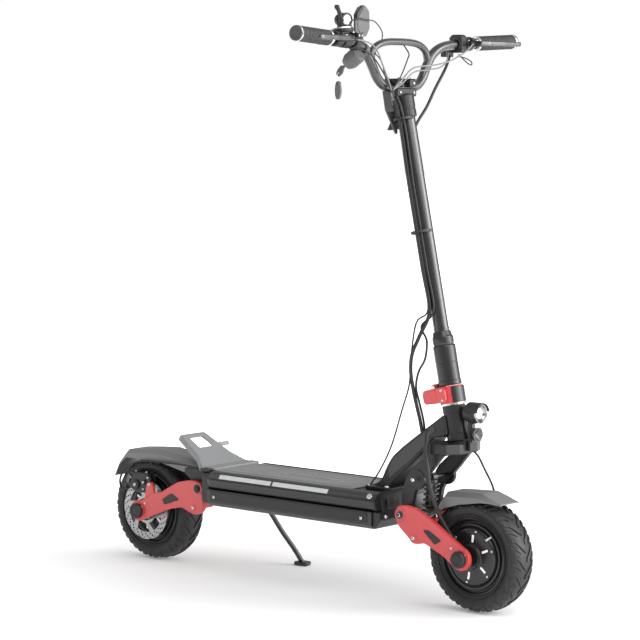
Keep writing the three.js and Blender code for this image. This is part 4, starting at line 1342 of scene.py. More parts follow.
def make_fold_joint(sizes):
    bm = bmesh.new()
    barrel = [
        (15.4, 37.4), (28, 37.4), (29, 38.6), (29, 55), (28.2, 55.6), (28.2, 57.4), (29, 58), (29, 76.4),
        (28, 77.6), (15.4, 77.6)
    ]
    lathe(bm, barrel, STEER, STEER_AXIS, 72, looped=True)
    for side in SIDES:
        ear = [(-20, 56), (-38, 60), *arc(FOLD, 9, 200, 0, 10), (-20, 77.6)]
        raked_plate(bm, rounded(ear, 2), 9.4, side * 13.2, edge=1.2)
    piece("fold_clamp_body", bm, "steering", "arm_red", ("fold_base",))
    single(
        "fold_clamp_seat", "steering", "steel", lathe,
        [(26, 36.4), (29.6, 36.4), (29.6, 38.4), (26, 38.4)], STEER, STEER_AXIS, 72, looped=True
    )
    bm = bmesh.new()
    turn = [radians(-52 + 104 * k / 16) for k in range(17)]
    sections = []
    for height, reach in ((39.5, 29.6), (40.5, 30.4), (74.5, 30.4), (75.5, 29.6)):
        section = [(reach * cos(a), reach * sin(a), height) for a in turn]
        section += [(28.4 * cos(a), 28.4 * sin(a), height) for a in reversed(turn)]
        sections.append([RAKED @ Vector(point) for point in section])
    loft(bm, sections)
    piece("fold_clamp_front_shell", bm, "steering", "satin_black")
    bm = bmesh.new()
    ends = [RAKED @ Vector((FOLD[0], side * 21, FOLD[1])) for side in SIDES]
    rod(bm, ends[0], ends[1], 4)
    for end, side in zip(ends, SIDES):
        rod(bm, end - Vector((0, side * 2.4, 0)), end + Vector((0, side * 1.6, 0)), 7.2)
    piece("fold_pivot_pin", bm, "steering", "steel", ("fold_pin",))
    bm = bmesh.new()
    lever = [(6, 42), (10, 48), (10, 70), (5, 76), (-44, 76), (-54, 70), (-54, 50), (-49, 44)]
    raked_plate(bm, rounded(lever, 5), 7, -34.5, edge=2)
    raked_plate(bm, rounded([(-8, 46), (8, 46), (8, 72), (-8, 72)], 4), 5, -31, edge=1.4)
    raked_plate(bm, rounded([(-52, 44), (-14, 42), (-14, 77), (-52, 75)], 6), 9, -34.5, edge=3)
    piece("clamp_lever_blade", bm, "clamp_lever", "arm_red", ("clamp_lever",))
    spots = []
    for height in (47, 70):
        spots.append((tuple(RAKED @ Vector((0, -38, height))), (0, -1, 0), 3.4))
    screws("clamp_screws", "clamp_lever", spots)


def make_stem(sizes):
    bm = bmesh.new()
    sleeve = [
        (17.9, 118), (17.9, 201), (19, 201), (20.4, 199), (21.6, 191), (23.4, 188.6), (24, 187), (24, 175),
        (23, 173), (22.8, 170.4), (25, 168), (25.5, 166), (25.5, 132), (25, 131.4), (25, 129.6),
        (25.5, 129), (25.5, 90), (26.4, 89), (26.4, 80), (25.6, 78.8), (0, 78.8), (0, 118)
    ]
    lathe(bm, sleeve, STEER, STEER_AXIS, 72, looped=True)
    knuckle = [*arc(FOLD, 9, 0, -270, 16), (-20, FOLD[1] + 9), (-20, FOLD[1] + 0.8)]
    raked_plate(bm, knuckle, 14.6, 0, edge=0.8)
    piece("stem_foot", bm, "stem", "satin_black", ("stem_sleeve",))
    bm = bmesh.new()
    tube_wall = [(14.5, 118.4), (17.5, 118.4), (17.5, 734), (17, 735), (14.5, 735)]
    lathe(bm, tube_wall, STEER, STEER_AXIS, 72, looped=True)
    for height in (205, 268, 650):
        lathe(
            bm, [(17.4, height), (18.2, height + 0.4), (18.2, height + 3.6), (17.4, height + 4)], STEER,
            STEER_AXIS, 72, looped=True
        )
    piece("stem_pipe", bm, "stem", "stem_black", ("stem_tube",))


def make_bar_clamp(sizes):
    bm = bmesh.new()
    socket = [
        (17.9, 690), (21, 690), (22, 691), (22, 706), (21.2, 707), (21.2, 711), (22, 712), (22, 737),
        (19, 741), (17.9, 741)
    ]
    lathe(bm, socket, STEER, STEER_AXIS, 64, looped=True)
    plate(bm, oblong(244, 285, 1146, 1164.6, 4), 68, across(0), edge=2)
    plate(bm, oblong(244, 285, 1166.4, 1186, 6), 24, across(-22), edge=2)
    plate(bm, oblong(244, 285, 1166.4, 1186, 6), 24, across(22), edge=2)
    hook = [(262, 1072), (229, 1069), (236, 1082), (244, 1100), (246, 1150), (262, 1150)]
    plate(bm, rounded(hook, 4), 8, across(0), edge=1.2)
    piece("bar_clamp_block", bm, "stem", "cast_black", ("bar_clamp",))
    centre = RAKED.inverted() @ Vector((BAR_X, 0, BAR_Z))
    top = centre.z + 20
    back = RAKED @ Matrix.Translation((centre.x - 19, 0, 0)) @ ALONG
    bm = bmesh.new()
    for side in SIDES:
        wing = [(side * 12, 660), (side * 19, 656), (side * 41, 712), (side * 39, top), (side * 12, top)]
        plate(bm, rounded(wing, 4), 4, back, edge=1)
        cheek = [(side * 36, 706), (side * 41, 712), (side * 39, top - 4), (side * 34, top - 4)]
        plate(bm, cheek, 22, back @ Matrix.Translation((0, 0, 9)), edge=0.8)
    piece("bar_clamp_wings", bm, "stem", "wedge_grey")
    spots = [((x, y, 1186), (0, 0, 1), 3.6) for x in (251, 278) for y in (-22, 22)]
    spots += [((285, y, z), (1, 0, 0), 3.2) for y in (-24, 24) for z in (1155, 1176)]
    screws("bar_clamp_bolts", "stem", spots)


# ------------------------------------------------------------------ handlebar and grips
def bar_point(side, y):
    """The middle of the handlebar's straight end at a distance from the stem."""
    return Vector((269 + (y - 200) * 23 / 182, side * y, 1267 + (y - 200) * 10 / 182))


def make_handlebar(sizes):
    half = [
        (BAR_X, 0, BAR_Z), (BAR_X, 22, BAR_Z), (BAR_X, 40, BAR_Z), (264, 62, 1171), (263, 82, 1188),
        (262, 98, 1214), (262, 120, 1242), (265, 150, 1259), (269, 200, 1267), (282, 300, 1273),
        (292, GRIP_OUT - 4, 1277)
    ]
    whole = [(x, -y, z) for x, y, z in reversed(half)] + half[1:]
    bm = bmesh.new()
    tube(bm, whole, BAR_R, sides=28, steps=7)
    arch = [
        (262, -103, 1222), (262, -92, 1250), (263, -58, 1265), (264, 0, 1268), (263, 58, 1265),
        (262, 92, 1250), (262, 103, 1222)
    ]
    tube(bm, arch, 8.5, sides=24, steps=8)
    piece("handlebar_tube", bm, "stem", "stem_black", ("handlebar",))


def make_grips(sizes):
    for side, name in HANDS:
        inner, outer = bar_point(side, GRIP_IN + 6), bar_point(side, GRIP_OUT - 4)
        single(
            "grip_core_" + name, "stem", "grip_rubber", collar, inner, outer, BAR_R + 1.2, 15.6,
            replaces=("grip_" + name,)
        )
        run = (outer - inner) / sizes.grip_ribs
        bm = bmesh.new()
        start = inner + 0.15 * run
        rib = [
            (15.2, 0), (16.6, 0.1 * run.length), (17, 0.35 * run.length), (16.6, 0.6 * run.length),
            (15.2, 0.7 * run.length)
        ]
        lathe(bm, rib, start, run, 32, looped=True)
        values = {"Along": sizes.grip_ribs, "Rows": 1, "Step": metres(run), "Row step": (0, 0, 0)}
        repeated("grip_ribs_" + name, bm, TREES["rows"], "stem", "grip_rubber", values)
        bm = bmesh.new()
        collar(bm, bar_point(side, GRIP_IN), bar_point(side, GRIP_IN + 6), BAR_R + 1.2, 17.2, edge=1)
        collar(
            bm, bar_point(side, GRIP_OUT - 4), bar_point(side, GRIP_OUT + 1.4), BAR_R + 1.2, 17.3, edge=1
        )
        piece("grip_rings_" + name, bm, "stem", "steel")
        end = bar_point(side, GRIP_OUT - 1)
        single(
            "grip_end_" + name, "stem", "grip_rubber", lathe,
            [(0, 0), (16.4, 0), (16.8, 1), (16.6, 4.6), (15, 5.4), (12.4, 5), (11.6, 3.6), (0, 3)], end,
            run, 48
        )


def make_levers(sizes):
    for side, name in HANDS:
        bm = bmesh.new()
        collar(bm, bar_point(side, 222), bar_point(side, 244), BAR_R + 1.2, 16.6, edge=1.4)
        lug = [(278, 226), (300, 224), (316, 229), (316, 240), (300, 243), (278, 241)]
        plate(bm, rounded([(x, side * y) for x, y in lug], 4), 14, level(1269), edge=2)
        rod(bm, (300, side * 222, 1269), (312, side * 208, 1268), 5)
        rod(bm, (290, side * 233, 1277), (290, side * 233, 1283), 5)
        piece(
            "lever_perch_" + name, bm, "stem", "black_plastic", ("brake_perch_" + name,),
        )
        blade = [
            (308, 228), (322, 226), (330, 250), (336, 300), (340, 352), (338, 360), (332, 360), (329, 340),
            (328, 302), (317, 246)
        ]
        single(
            "brake_blade_" + name, "brake_lever_" + name, "dark_steel", plate,
            rounded([(x, side * y) for x, y in blade], 4), 11, level(1270), edge=3.2, resolution=3,
            replaces=("brake_lever_" + name,), slot="black_paint"
        )
        screws(
            "lever_bolts_" + name, "stem",
            [((303, side * 234, 1276), (0, 0, 1), 3.6), ((285, side * 226, 1276), (0, 0, 1), 2.8)]
        )


def make_display(sizes):
    bm = bmesh.new()
    collar(bm, bar_point(-1, 190), bar_point(-1, 214), BAR_R + 1.2, 17, edge=1.5)
    plate(bm, oblong(250, 276, -210, -190, 4), 14, level(1281), edge=2)
    at, facing = (258, -196, 1281), (-0.2, 0, 1)
    lathe(bm, [(0, 0), (23, 0), (26, 3), (27, 6), (26.4, 9.6), (0, 9.6)], at, facing, 64)
    piece("display_housing", bm, "stem", "black_plastic", ("display",))
    single(
        "display_rim", "stem", "steel", lathe,
        [(23, 9), (26.6, 9), (26.4, 11), (25, 12), (23.4, 11.4), (23, 10)], at, facing, 64, looped=True,
        slot="chrome"
    )
    single(
        "display_glass", "stem", "screen_glass", lathe,
        [(0, 9.4), (23.2, 9.4), (23.2, 10.6), (16, 11.3), (0, 11.6)], at, facing, 64
    )
    paddle = [(236, -228), (236, -200), (224, -200), (208, -206), (204, -212), (212, -226)]
    single(
        "throttle_paddle", "throttle", "black_plastic", plate, rounded(paddle, 5), 6, level(1261),
        edge=1.8, replaces=("throttle_trigger",)
    )


def make_lock(sizes):
    axis = (-0.8, -0.05, -0.55)
    body = [
        (0, 0), (15, 0), (17.4, 2), (19, 6), (19, 30), (18.4, 32.4), (15, 40), (14, 42), (9, 42),
        (8.4, 41), (0, 41)
    ]
    single(
        "lock_barrel", "stem", "grey_plastic", lathe, body, (276, -157, 1240), axis, 56,
        replaces=("lock_housing",)
    )
    tip = Vector((276, -157, 1240)) + 41 * Vector(axis).normalized()
    single(
        "lock_face", "stem", "steel", lathe, [(0, 0), (8, 0), (8.2, 1), (7, 1.8), (3, 1.8), (0, 1.2)], tip,
        axis, 40
    )
    bow = [
        (239.6, 1212.2), (236.6, 1216.6), (230, 1212), (226, 1214), (215, 1204), (211, 1194), (219, 1188),
        (229, 1196), (233, 1207.5)
    ]
    single(
        "lock_key", "key", "dark_steel", plate, rounded(bow, 2), 4.4, across(LOCK_Y), edge=0.8,
        holes=[circle(218, 1196, 2.4, 12)], replaces=("ignition_key",)
    )
    shape = [
        (217, 1180), (222, 1176), (225, 1164), (225, 1150), (220, 1139), (213, 1138), (209, 1146),
        (208, 1160), (210, 1174)
    ]
    single(
        "key_tag", "fob", "grey_plastic", plate, rounded(shape, 5), 7, across(LOCK_Y), edge=2,
        holes=[circle(217, 1174, 2.6, 14)], replaces=("key_fob",)
    )
    single(
        "key_ring", "fob", "steel", tube,
        [(217, -157, 1172), (214, -159.5, 1184), (217.6, -162, 1196), (220, -158, 1190), (217, -157, 1178)],
        0.8, sides=8, steps=8
    )


# ------------------------------------------------------------------ lamp, phone holder and switches
def saddle(bm, y, width, x, z):
    """Adds a strap round the handlebar's bend."""
    slope = Vector((0.1, 1 if y > 0 else -1, 0.45)).normalized()
    middle = Vector((x, y, z))
    collar(bm, middle - slope * width / 2, middle + slope * width / 2, BAR_R + 0.4, 16.4, edge=1.4)


def make_bar_lamp(sizes):
    bm = bmesh.new()
    at, facing = (218, -164, 1314), (1, -0.1, -0.05)
    lathe(
        bm,
        [
            (0, 0), (9, 0), (12, 2), (14, 6), (15, 10), (15, 26), (16.4, 27), (16.4, 30.6), (15.4, 31.4),
            (12.6, 31.4), (12.4, 27), (0, 27)
        ],
        at, facing, 56
    )
    for h in (12, 16, 20):
        lathe(bm, [(14.6, h), (15.9, h + 0.3), (15.9, h + 1.7), (14.6, h + 2)], at, facing, 56, looped=True)
    rod(bm, (236, -165, 1302), (264, -164, 1274), 6)
    plate(bm, oblong(226, 252, 1294, 1303, 3), 22, across(-165), edge=1.5)
    saddle(bm, -164, 14, 266, 1261)
    block(bm, 262, 284, -172, -152, 1272, 1284, edge=2, corner=4)
    piece("bar_lamp_body", bm, "stem", "black_plastic", ("bar_lamp",))
    single(
        "bar_lamp_lens", "stem", "lens_white", lathe,
        [(0, 27), (11.6, 27), (12.2, 30), (9, 32.6), (0, 34)], at, facing, 48
    )
    spots = [((284, y, 1278), (1, 0, 0), 2.6) for y in (-168, -158)]
    screws("bar_lamp_screws", "stem", spots)
    arm = [(242, 1306), (252, 1310), (240, 1336), (236, 1346), (228, 1346), (226, 1340), (234, 1332)]
    single("lamp_side_arm", "stem", "black_plastic", plate, rounded(arm, 3), 7, across(-183), edge=1.4)


def make_phone_holder(sizes):
    bm = bmesh.new()
    pad = [
        (-140, 1276), (-150, 1290), (-150, 1326), (-138, 1342), (-116, 1346), (-102, 1334), (-100, 1296),
        (-112, 1278)
    ]
    plate(bm, rounded(pad, 3), 6, along(255), edge=1.2)
    inner = [(-125 + (y + 125) * 0.72, 1311 + (z - 1311) * 0.72) for y, z in pad]
    plate(bm, rounded(inner, 3), 1.6, along(258.4), edge=0.5)
    rod(bm, (255, -133, 1284), (262, -130, 1262), 5)
    saddle(bm, -130, 12, 262.6, 1247)
    piece("phone_pad", bm, "stem", "grey_plastic", ("phone_holder",))
    corner = [
        (-140, 1338), (-150, 1326), (-150, 1312), (-142, 1322), (-128, 1338), (-124, 1346), (-130, 1346)
    ]
    single("phone_pad_corner", "stem", "black_plastic", plate, rounded(corner, 2), 10, along(258), edge=1.4)


def make_switches(sizes):
    bm = bmesh.new()
    plate(
        bm, rounded([(252, 1248), (288, 1248), (288, 1284), (282, 1290), (258, 1290), (252, 1284)], 5), 20,
        across(206), edge=2.4
    )
    plate(bm, rounded([(246, 1238), (262, 1238), (262, 1254), (246, 1254)], 3), 30, across(185), edge=2)
    collar(bm, bar_point(1, 196), bar_point(1, 217), BAR_R + 1.2, 17, edge=1.2)
    piece("switch_housing", bm, "stem", "black_plastic", ("switch_box",))
    single(
        "horn_push", "horn_button", "arm_red", lathe, [(0, -4), (5, -4), (5, 3.6), (4, 4.6), (0, 5)],
        (249.5, 206, 1262), (-1, 0, 0), 40, replaces=("horn_button",), slot="red_plastic"
    )
    single(
        "light_switch", "stem", "grey_plastic", plate, oblong(199, 213, 1272, 1284, 2), 5, along(251.5),
        edge=1
    )


# ------------------------------------------------------------------ cables and stand
def stem_at(z, dx, y):
    """A point beside the stem's centre line."""
    return (STEER[0] - tan(RAKE) * (z - STEER[2]) + dx, y, z)


def make_cables(sizes):
    run = [(287, -58, 1168), (286, -52, 1146), stem_at(1118, 2, -32), stem_at(1060, -3, -23)]
    run += [stem_at(z, -6, -22.5) for z in (960, 860, 760, 670)]
    run += [
        (352, -36, 610), (338, -44, 570), (334, -44, 532), (334, -36, 494), (336, -26, 456),
        (342, -20, 420), (348, -17, 384)
    ]
    bm = bmesh.new()
    tube(bm, run, 4.2, sides=14, steps=6)
    second = [(x + 9, y + 2.5, z) for x, y, z in run[1:8]]
    second += [
        (350, -26, 632), (362, -22, 600), (364, -30, 560), (352, -38, 530), (340, -32, 494),
        (341, -20, 456), (347, -14, 420), (352, -13, 386)
    ]
    tube(bm, second, 2.6, sides=12, steps=6)
    third = [(x - 6, y + 1, z) for x, y, z in run[2:8]]
    third += [
        (346, -40, 640), (336, -46, 560), (330, -44, 500), (306, -40, 440), (276, -38, 360),
        (246, -42, 300), (222, -50, 262)
    ]
    tube(bm, third, 1.9, sides=12, steps=6)
    bend = ("stem", (360, -30, 540), (352, -30, 680))
    piece("stem_cable_bundle", bm, "steering", "cable_rubber", ("stem_cables",), bend=bend)
    bm = bmesh.new()
    for z in (1095, 843):
        spot = Vector(stem_at(z, -4, -11))
        collar(bm, spot - 3 * Vector(STEER_AXIS), spot + 3 * Vector(STEER_AXIS), 22.5, 23.6, edge=0.4)
    piece("cable_ties", bm, "stem", "black_plastic")
    lead = [
        (404, -68, 404), (404, -75, 384), (404, -76, 352), (408, -75, 320), (410, -68, 275),
        (424, -56, 222)
    ]
    lead += [(456, -54, 176), (484, -54, 146)]
    hoses = {
        "front_motor_lead": (lead, 5.0, "steering", "front_arm"),
        "front_brake_hose": (
            [
                (464, 16, 358), (476, 22, 344), (484, 34, 316), (494, 49, 280), (500, 54, 250),
                (500, 54, 222)
            ],
            2.5, "steering", "front_arm"
        ),
        "rear_brake_hose": (
            [
                (-272, -62, 240), (-330, -62, 252), (-420, -56, 252), (-520, -52, 246), (-570, -53, 222),
                (-588, -54, 194), (-580, -54, 170), (-560, -54, 176)
            ],
            2.5, "chassis", "rear_arm",
        )
    }
    for node, (points, radius, first, second) in hoses.items():
        bm = bmesh.new()
        tube(bm, points, radius, sides=14, steps=8)
        bend = (second, points[1], points[-2])
        piece(node + "_jacket", bm, first, "cable_rubber", (node,), bend=bend)


def make_bar_wiring(sizes):
    """Thin leads and hoses between the controls and the stem."""
    meet = [(287, -57, 1156), (286, -50, 1138)]
    runs = {
        "lamp_lead": (
            [
                (248, -164, 1303), (261, -152, 1316), (262, -120, 1314), (262, -88, 1311),
                (262, -63, 1290), (263, -66, 1269), (268, -96, 1246), (284, -90, 1222), (285, -76, 1183),
                *meet
            ],
            1.3, "cable_rubber"
        ),
        "throttle_lead": (
            [
                (262, -186, 1262), (272, -160, 1252), (282, -124, 1236), (286, -94, 1206),
                (287, -70, 1176), *meet
            ],
            1.7, "cable_rubber"
        ),
        "right_brake_hose": (
            [
                (312, -208, 1268), (312, -170, 1262), (302, -130, 1248), (292, -98, 1218),
                (289, -74, 1184), *meet
            ],
            1.8, "pale_hose"
        ),
        "crossbar_lead": (
            [(264, 12, 1262), (284, 6, 1242), (290, -6, 1229), (292, -31, 1192), *meet], 1.5,
            "cable_rubber"
        ),
        "left_brake_hose": (
            [
                (312, 208, 1268), (316, 176, 1250), (312, 130, 1230), (302, 84, 1218), (294, 40, 1214),
                (292, 6, 1207), (292, -26, 1184), *meet
            ],
            1.8, "pale_hose"
        ),
        "switch_lead": (
            [
                (268, 172, 1246), (282, 146, 1226), (290, 110, 1212), (292, 58, 1206), (292, 14, 1200),
                (291, -24, 1176), *meet
            ],
            1.6, "pale_hose"
        ),
        "left_loop": (
            [
                (284, 190, 1244), (296, 204, 1226), (296, 222, 1220), (290, 230, 1228), (284, 214, 1236),
                (276, 196, 1240)
            ],
            1.4, "cable_rubber"
        ),
        "main_lead": (
            [
                (262, 184, 1240), (276, 150, 1210), (284, 104, 1166), (288, 68, 1124), (287, 40, 1094),
                (284, 22, 1068)
            ],
            3.4, "cable_rubber"
        )
    }
    for name, (points, radius, look) in runs.items():
        single(name, "stem", look, tube, points, radius, sides=12, steps=8, slot="rubber")


def make_kickstand(sizes):
    bm = bmesh.new()
    tube(
        bm, [(-214, 76, 150), (-205, 88, 130), (-190, 112, 84), (-176, 138, 42), (-165, 157, 6)], 6,
        sides=20, steps=6
    )
    cross(bm, (-214, 156), 10, 57.4, 84, edge=1.4, segments=40)
    foot = [(-182, 142), (-148, 142), (-142, 150), (-148, 172), (-182, 172)]
    plate(bm, rounded(foot, 6), 9, level(4.5), edge=2)
    piece("kickstand_leg", bm, "kickstand", "satin_black", ("kickstand",))


# ------------------------------------------------------------------ stage
CAMERA_SPOT = Vector((3.6927, -4.2440, 1.0999))
CAMERA_YAW, CAMERA_PITCH, CAMERA_ROLL = 0.7125, 0.0843, 0.0017


def soft_light(name, spot, aim, size, power):
    light = bpy.data.lights.new(name, "AREA")
    light.shape = "RECTANGLE"
    light.size, light.size_y = size
    light.energy = power
    obj = bpy.data.objects.new(name, light)
    obj.location = spot
    obj.rotation_euler = (Vector(aim) - Vector(spot)).to_track_quat("-Z", "Y").to_euler()
    bpy.context.scene.collection.objects.link(obj)


def make_stage(light):
    scene = bpy.context.scene
    look = Vector(
        (-sin(CAMERA_YAW) * cos(CAMERA_PITCH), cos(CAMERA_YAW) * cos(CAMERA_PITCH), -sin(CAMERA_PITCH))
    )
    right = Vector((cos(CAMERA_YAW), sin(CAMERA_YAW), 0))
    up = right.cross(look)
    turned_right = right * cos(CAMERA_ROLL) + up * sin(CAMERA_ROLL)
    turned_up = up * cos(CAMERA_ROLL) - right * sin(CAMERA_ROLL)
    data = bpy.data.cameras.new("camera")
    data.lens = 135.26
    data.sensor_width = 36
    camera = bpy.data.objects.new("camera", data)
    camera.matrix_world = Matrix.Translation(CAMERA_SPOT) @ Matrix(
        (turned_right, turned_up, -look)
    ).transposed().to_4x4()
    scene.collection.objects.link(camera)
    scene.camera = camera

    bm = bmesh.new()
    bmesh.ops.create_circle(bm, cap_ends=True, radius=40, segments=96)
    mesh = bpy.data.meshes.new("floor")
    bm.to_mesh(mesh)
    bm.free()
    floor_material, s, shader, _, _ = finish(
        "floor_white", grey(0.88), grey(0.87), (0.6, 0.7), cloud=0.5, bump=0.0
    )
    # painted light: the floor glows more the farther it is from the scooter, from 0.16 near it to 1.0 beyond
    # 2.2 m, making up for lamp light that falls off so the far floor stays white
    place = s.add("ShaderNodeTexCoord")
    reach = s.add("ShaderNodeVectorMath", {0: place["Object"]}, operation="LENGTH")
    floor_glow_painted = s.add("ShaderNodeMapRange", {"Value": reach["Value"]}, interpolation_type="SMOOTHSTEP")
    for label, value in (("From Min", 0.2), ("From Max", 2.2), ("To Min", 0.16), ("To Max", 1.0)):
        floor_glow_painted[0].node.inputs[label].default_value = value
    shader.inputs["Emission Color"].default_value = (1, 1, 1, 1)
    s.tree.links.new(floor_glow_painted[0], shader.inputs["Emission Strength"])
    mesh.materials.append(floor_material)
    floor = bpy.data.objects.new("floor", mesh)
    scene.collection.objects.link(floor)
    floor.location.z = -0.0005

    world = bpy.data.worlds.new("studio")
    world.use_nodes = True
    background = world.node_tree.nodes["Background"]
    background.inputs["Color"].default_value = (1, 1, 1, 1)
    s = Shade(world.node_tree)
    facing = s.add("ShaderNodeTexCoord")["Generated"]
    upward = s.add("ShaderNodeSeparateXYZ", {0: facing})["Z"]
    beside = s.add(
        "ShaderNodeVectorMath", {0: facing, 1: (0.9, 0.42, 0.1)}, operation="DOT_PRODUCT"
    )["Value"]
    total = s.add("ShaderNodeValue")[0]
    total.default_value = 0.5 * light.sky
    for value, low, high, strength in ((upward, 0.0, 0.8, light.sky), (beside, 0.72, 0.93, light.panel)):
        ramp = s.add("ShaderNodeMapRange", {"Value": value}, interpolation_type="SMOOTHSTEP")
        for label, number in (("From Min", low), ("From Max", high), ("To Max", strength)):
            ramp[0].node.inputs[label].default_value = number
        total = s.add("ShaderNodeMath", {0: total, 1: ramp[0]}, operation="ADD")[0]
    seen = s.add("ShaderNodeLightPath")["Is Camera Ray"]
    shown = s.add(
        "ShaderNodeMapRange",
        {"Value": seen, "From Min": 0.0, "From Max": 1.0, "To Min": total, "To Max": 1.0}
    )
    s.tree.links.new(shown[0], background.inputs["Strength"])
    scene.world = world
    scene.view_settings.view_transform = "Standard"
    soft_light("key", (2.6, -1.2, 3.0), (0, 0, 0.5), (2.4, 2.4), light.key)
    soft_light("side strip", (3.0, 1.5, 1.3), (0.2, 0, 0.7), (0.9, 2.8), light.strip)
    soft_light("left fill", (-3.2, -2.0, 2.2), (-0.3, 0, 0.3), (2.4, 2.4), light.fill)


# ------------------------------------------------------------------ settings
class ScooterSizes(bpy.types.PropertyGroup):
    """Counts and small sizes that a user may change."""

    tread_blocks: bpy.props.IntProperty(
        name="Tread blocks", description="Tread blocks on each side of a tyre", default=20, min=12, max=48
    )
    grip_ribs: bpy.props.IntProperty(
        name="Grip ribs", description="Ribs along each grip", default=22, min=8, max=40
    )
    stud_pitch: bpy.props.FloatProperty(
        name="Stud pitch", description="Distance between the mat's studs, in millimetres", default=8.0,
        min=5, max=20
    )


class ScooterColours(bpy.types.PropertyGroup):
    """Paint colours."""

    frame: bpy.props.FloatVectorProperty(
        name="Frame", description="Frame paint", subtype="COLOR", size=4,
        default=(0.011, 0.0115, 0.0125, 1), min=0, max=1
    )
    arms: bpy.props.FloatVectorProperty(
        name="Arms", description="Swingarm and clamp paint", subtype="COLOR", size=4,
        default=(0.66, 0.055, 0.06, 1), min=0, max=1
    )
    fenders: bpy.props.FloatVectorProperty(
        name="Fenders", description="Fender plastic", subtype="COLOR", size=4,
        default=(0.16, 0.162, 0.164, 1), min=0, max=1
    )
    mat: bpy.props.FloatVectorProperty(
        name="Mat", description="Deck mat rubber", subtype="COLOR", size=4,
        default=(0.26, 0.262, 0.264, 1), min=0, max=1
    )


class ScooterLight(bpy.types.PropertyGroup):
    """Studio light."""

    sky: bpy.props.FloatProperty(
        name="Sky", description="Strength of the white surround", default=0.42, min=0
    )
    panel: bpy.props.FloatProperty(
        name="Panel", description="Bright part of the surround at the side", default=3.6, min=0
    )
    key: bpy.props.FloatProperty(name="Key", description="Overhead light", default=62, min=0, unit="POWER")
    strip: bpy.props.FloatProperty(
        name="Strip", description="Tall light at the side", default=45, min=0, unit="POWER"
    )
    fill: bpy.props.FloatProperty(
        name="Fill", description="Light from the left", default=16, min=0, unit="POWER"
    )


# ------------------------------------------------------------------ operators
class Maker:
    """What every building operator shares."""

    bl_options = {"REGISTER"}

    def execute(self, context):
        type(self).make(context.scene.scooter_sizes)
        return {"FINISHED"}


class SCOOTER_OT_finishes(bpy.types.Operator):
    """Make the materials and the repeating node trees"""

    bl_idname = "scooter.finishes"
    bl_label = "Finishes"

    def execute(self, context):
        TREES.update(ring=ring_tree(), rows=row_tree(), heads=heads_tree())
        make_finishes(context.scene.scooter_colours)
        return {"FINISHED"}


class SCOOTER_OT_stage(bpy.types.Operator):
    """Make the camera, the floor and the lights"""

    bl_idname = "scooter.stage"
    bl_label = "Stage"

    def execute(self, context):
        make_stage(context.scene.scooter_light)
        return {"FINISHED"}


class SCOOTER_OT_deck(Maker, bpy.types.Operator):
    """Build the deck shell, its mat and its panels"""

    bl_idname = "scooter.deck"
    bl_label = "Deck"
    make = make_deck


class SCOOTER_OT_rails(Maker, bpy.types.Operator):
    """Build the side rails with their light strips"""

    bl_idname = "scooter.rails"
    bl_label = "Side rails"
    make = make_rails


class SCOOTER_OT_neck(Maker, bpy.types.Operator):
    """Build the neck casting and the deck's nose"""

    bl_idname = "scooter.neck"
    bl_label = "Neck"
    make = make_neck


class SCOOTER_OT_fork(Maker, bpy.types.Operator):
    """Build the fork and its bolts"""

    bl_idname = "scooter.fork"
    bl_label = "Fork"
    make = make_fork


class SCOOTER_OT_rear_bracket(Maker, bpy.types.Operator):
    """Build the bracket behind the deck"""

    bl_idname = "scooter.rear_bracket"
    bl_label = "Rear bracket"
    make = make_rear_bracket


class SCOOTER_OT_kickplate(Maker, bpy.types.Operator):
    """Build the raised plate over the rear wheel"""

    bl_idname = "scooter.kickplate"
    bl_label = "Kickplate"
    make = make_kickplate


class SCOOTER_OT_fenders(Maker, bpy.types.Operator):
    """Build both folded fenders"""

    bl_idname = "scooter.fenders"
    bl_label = "Fenders"
    make = make_fenders


class SCOOTER_OT_swingarms(Maker, bpy.types.Operator):
    """Build both swingarms"""

    bl_idname = "scooter.swingarms"
    bl_label = "Swingarms"
    make = make_swingarms


class SCOOTER_OT_axles(Maker, bpy.types.Operator):
    """Build both axles with their caps"""

    bl_idname = "scooter.axles"
    bl_label = "Axles"
    make = make_axles


class SCOOTER_OT_tyres(Maker, bpy.types.Operator):
    """Build both tyres with their tread"""

    bl_idname = "scooter.tyres"
    bl_label = "Tyres"
    make = make_tyres


class SCOOTER_OT_motors(Maker, bpy.types.Operator):
    """Build both hub motors"""

    bl_idname = "scooter.motors"
    bl_label = "Hub motors"
    make = make_motors


class SCOOTER_OT_rotors(Maker, bpy.types.Operator):
    """Build both drilled brake discs"""

    bl_idname = "scooter.rotors"
    bl_label = "Brake discs"
    make = make_rotors


class SCOOTER_OT_calipers(Maker, bpy.types.Operator):
    """Build both brake calipers"""

    bl_idname = "scooter.calipers"
    bl_label = "Calipers"
    make = make_calipers


class SCOOTER_OT_shocks(Maker, bpy.types.Operator):
    """Build both coil shocks"""

    bl_idname = "scooter.shocks"
    bl_label = "Shocks"
    make = make_shocks


class SCOOTER_OT_headlight(Maker, bpy.types.Operator):
    """Build the headlight and the horn under it"""

    bl_idname = "scooter.headlight"
    bl_label = "Headlight"
    make = make_headlight


class SCOOTER_OT_fold_joint(Maker, bpy.types.Operator):
    """Build the folding clamp and its lever"""

    bl_idname = "scooter.fold_joint"
    bl_label = "Folding joint"
    make = make_fold_joint


class SCOOTER_OT_stem(Maker, bpy.types.Operator):
    """Build the stem"""

    bl_idname = "scooter.stem"
    bl_label = "Stem"
    make = make_stem


class SCOOTER_OT_bar_clamp(Maker, bpy.types.Operator):
    """Build the handlebar clamp"""

    bl_idname = "scooter.bar_clamp"
    bl_label = "Bar clamp"
    make = make_bar_clamp


class SCOOTER_OT_handlebar(Maker, bpy.types.Operator):
    """Build the handlebar"""

    bl_idname = "scooter.handlebar"
    bl_label = "Handlebar"
    make = make_handlebar


class SCOOTER_OT_grips(Maker, bpy.types.Operator):
    """Build both ribbed grips"""

    bl_idname = "scooter.grips"
    bl_label = "Grips"
    make = make_grips


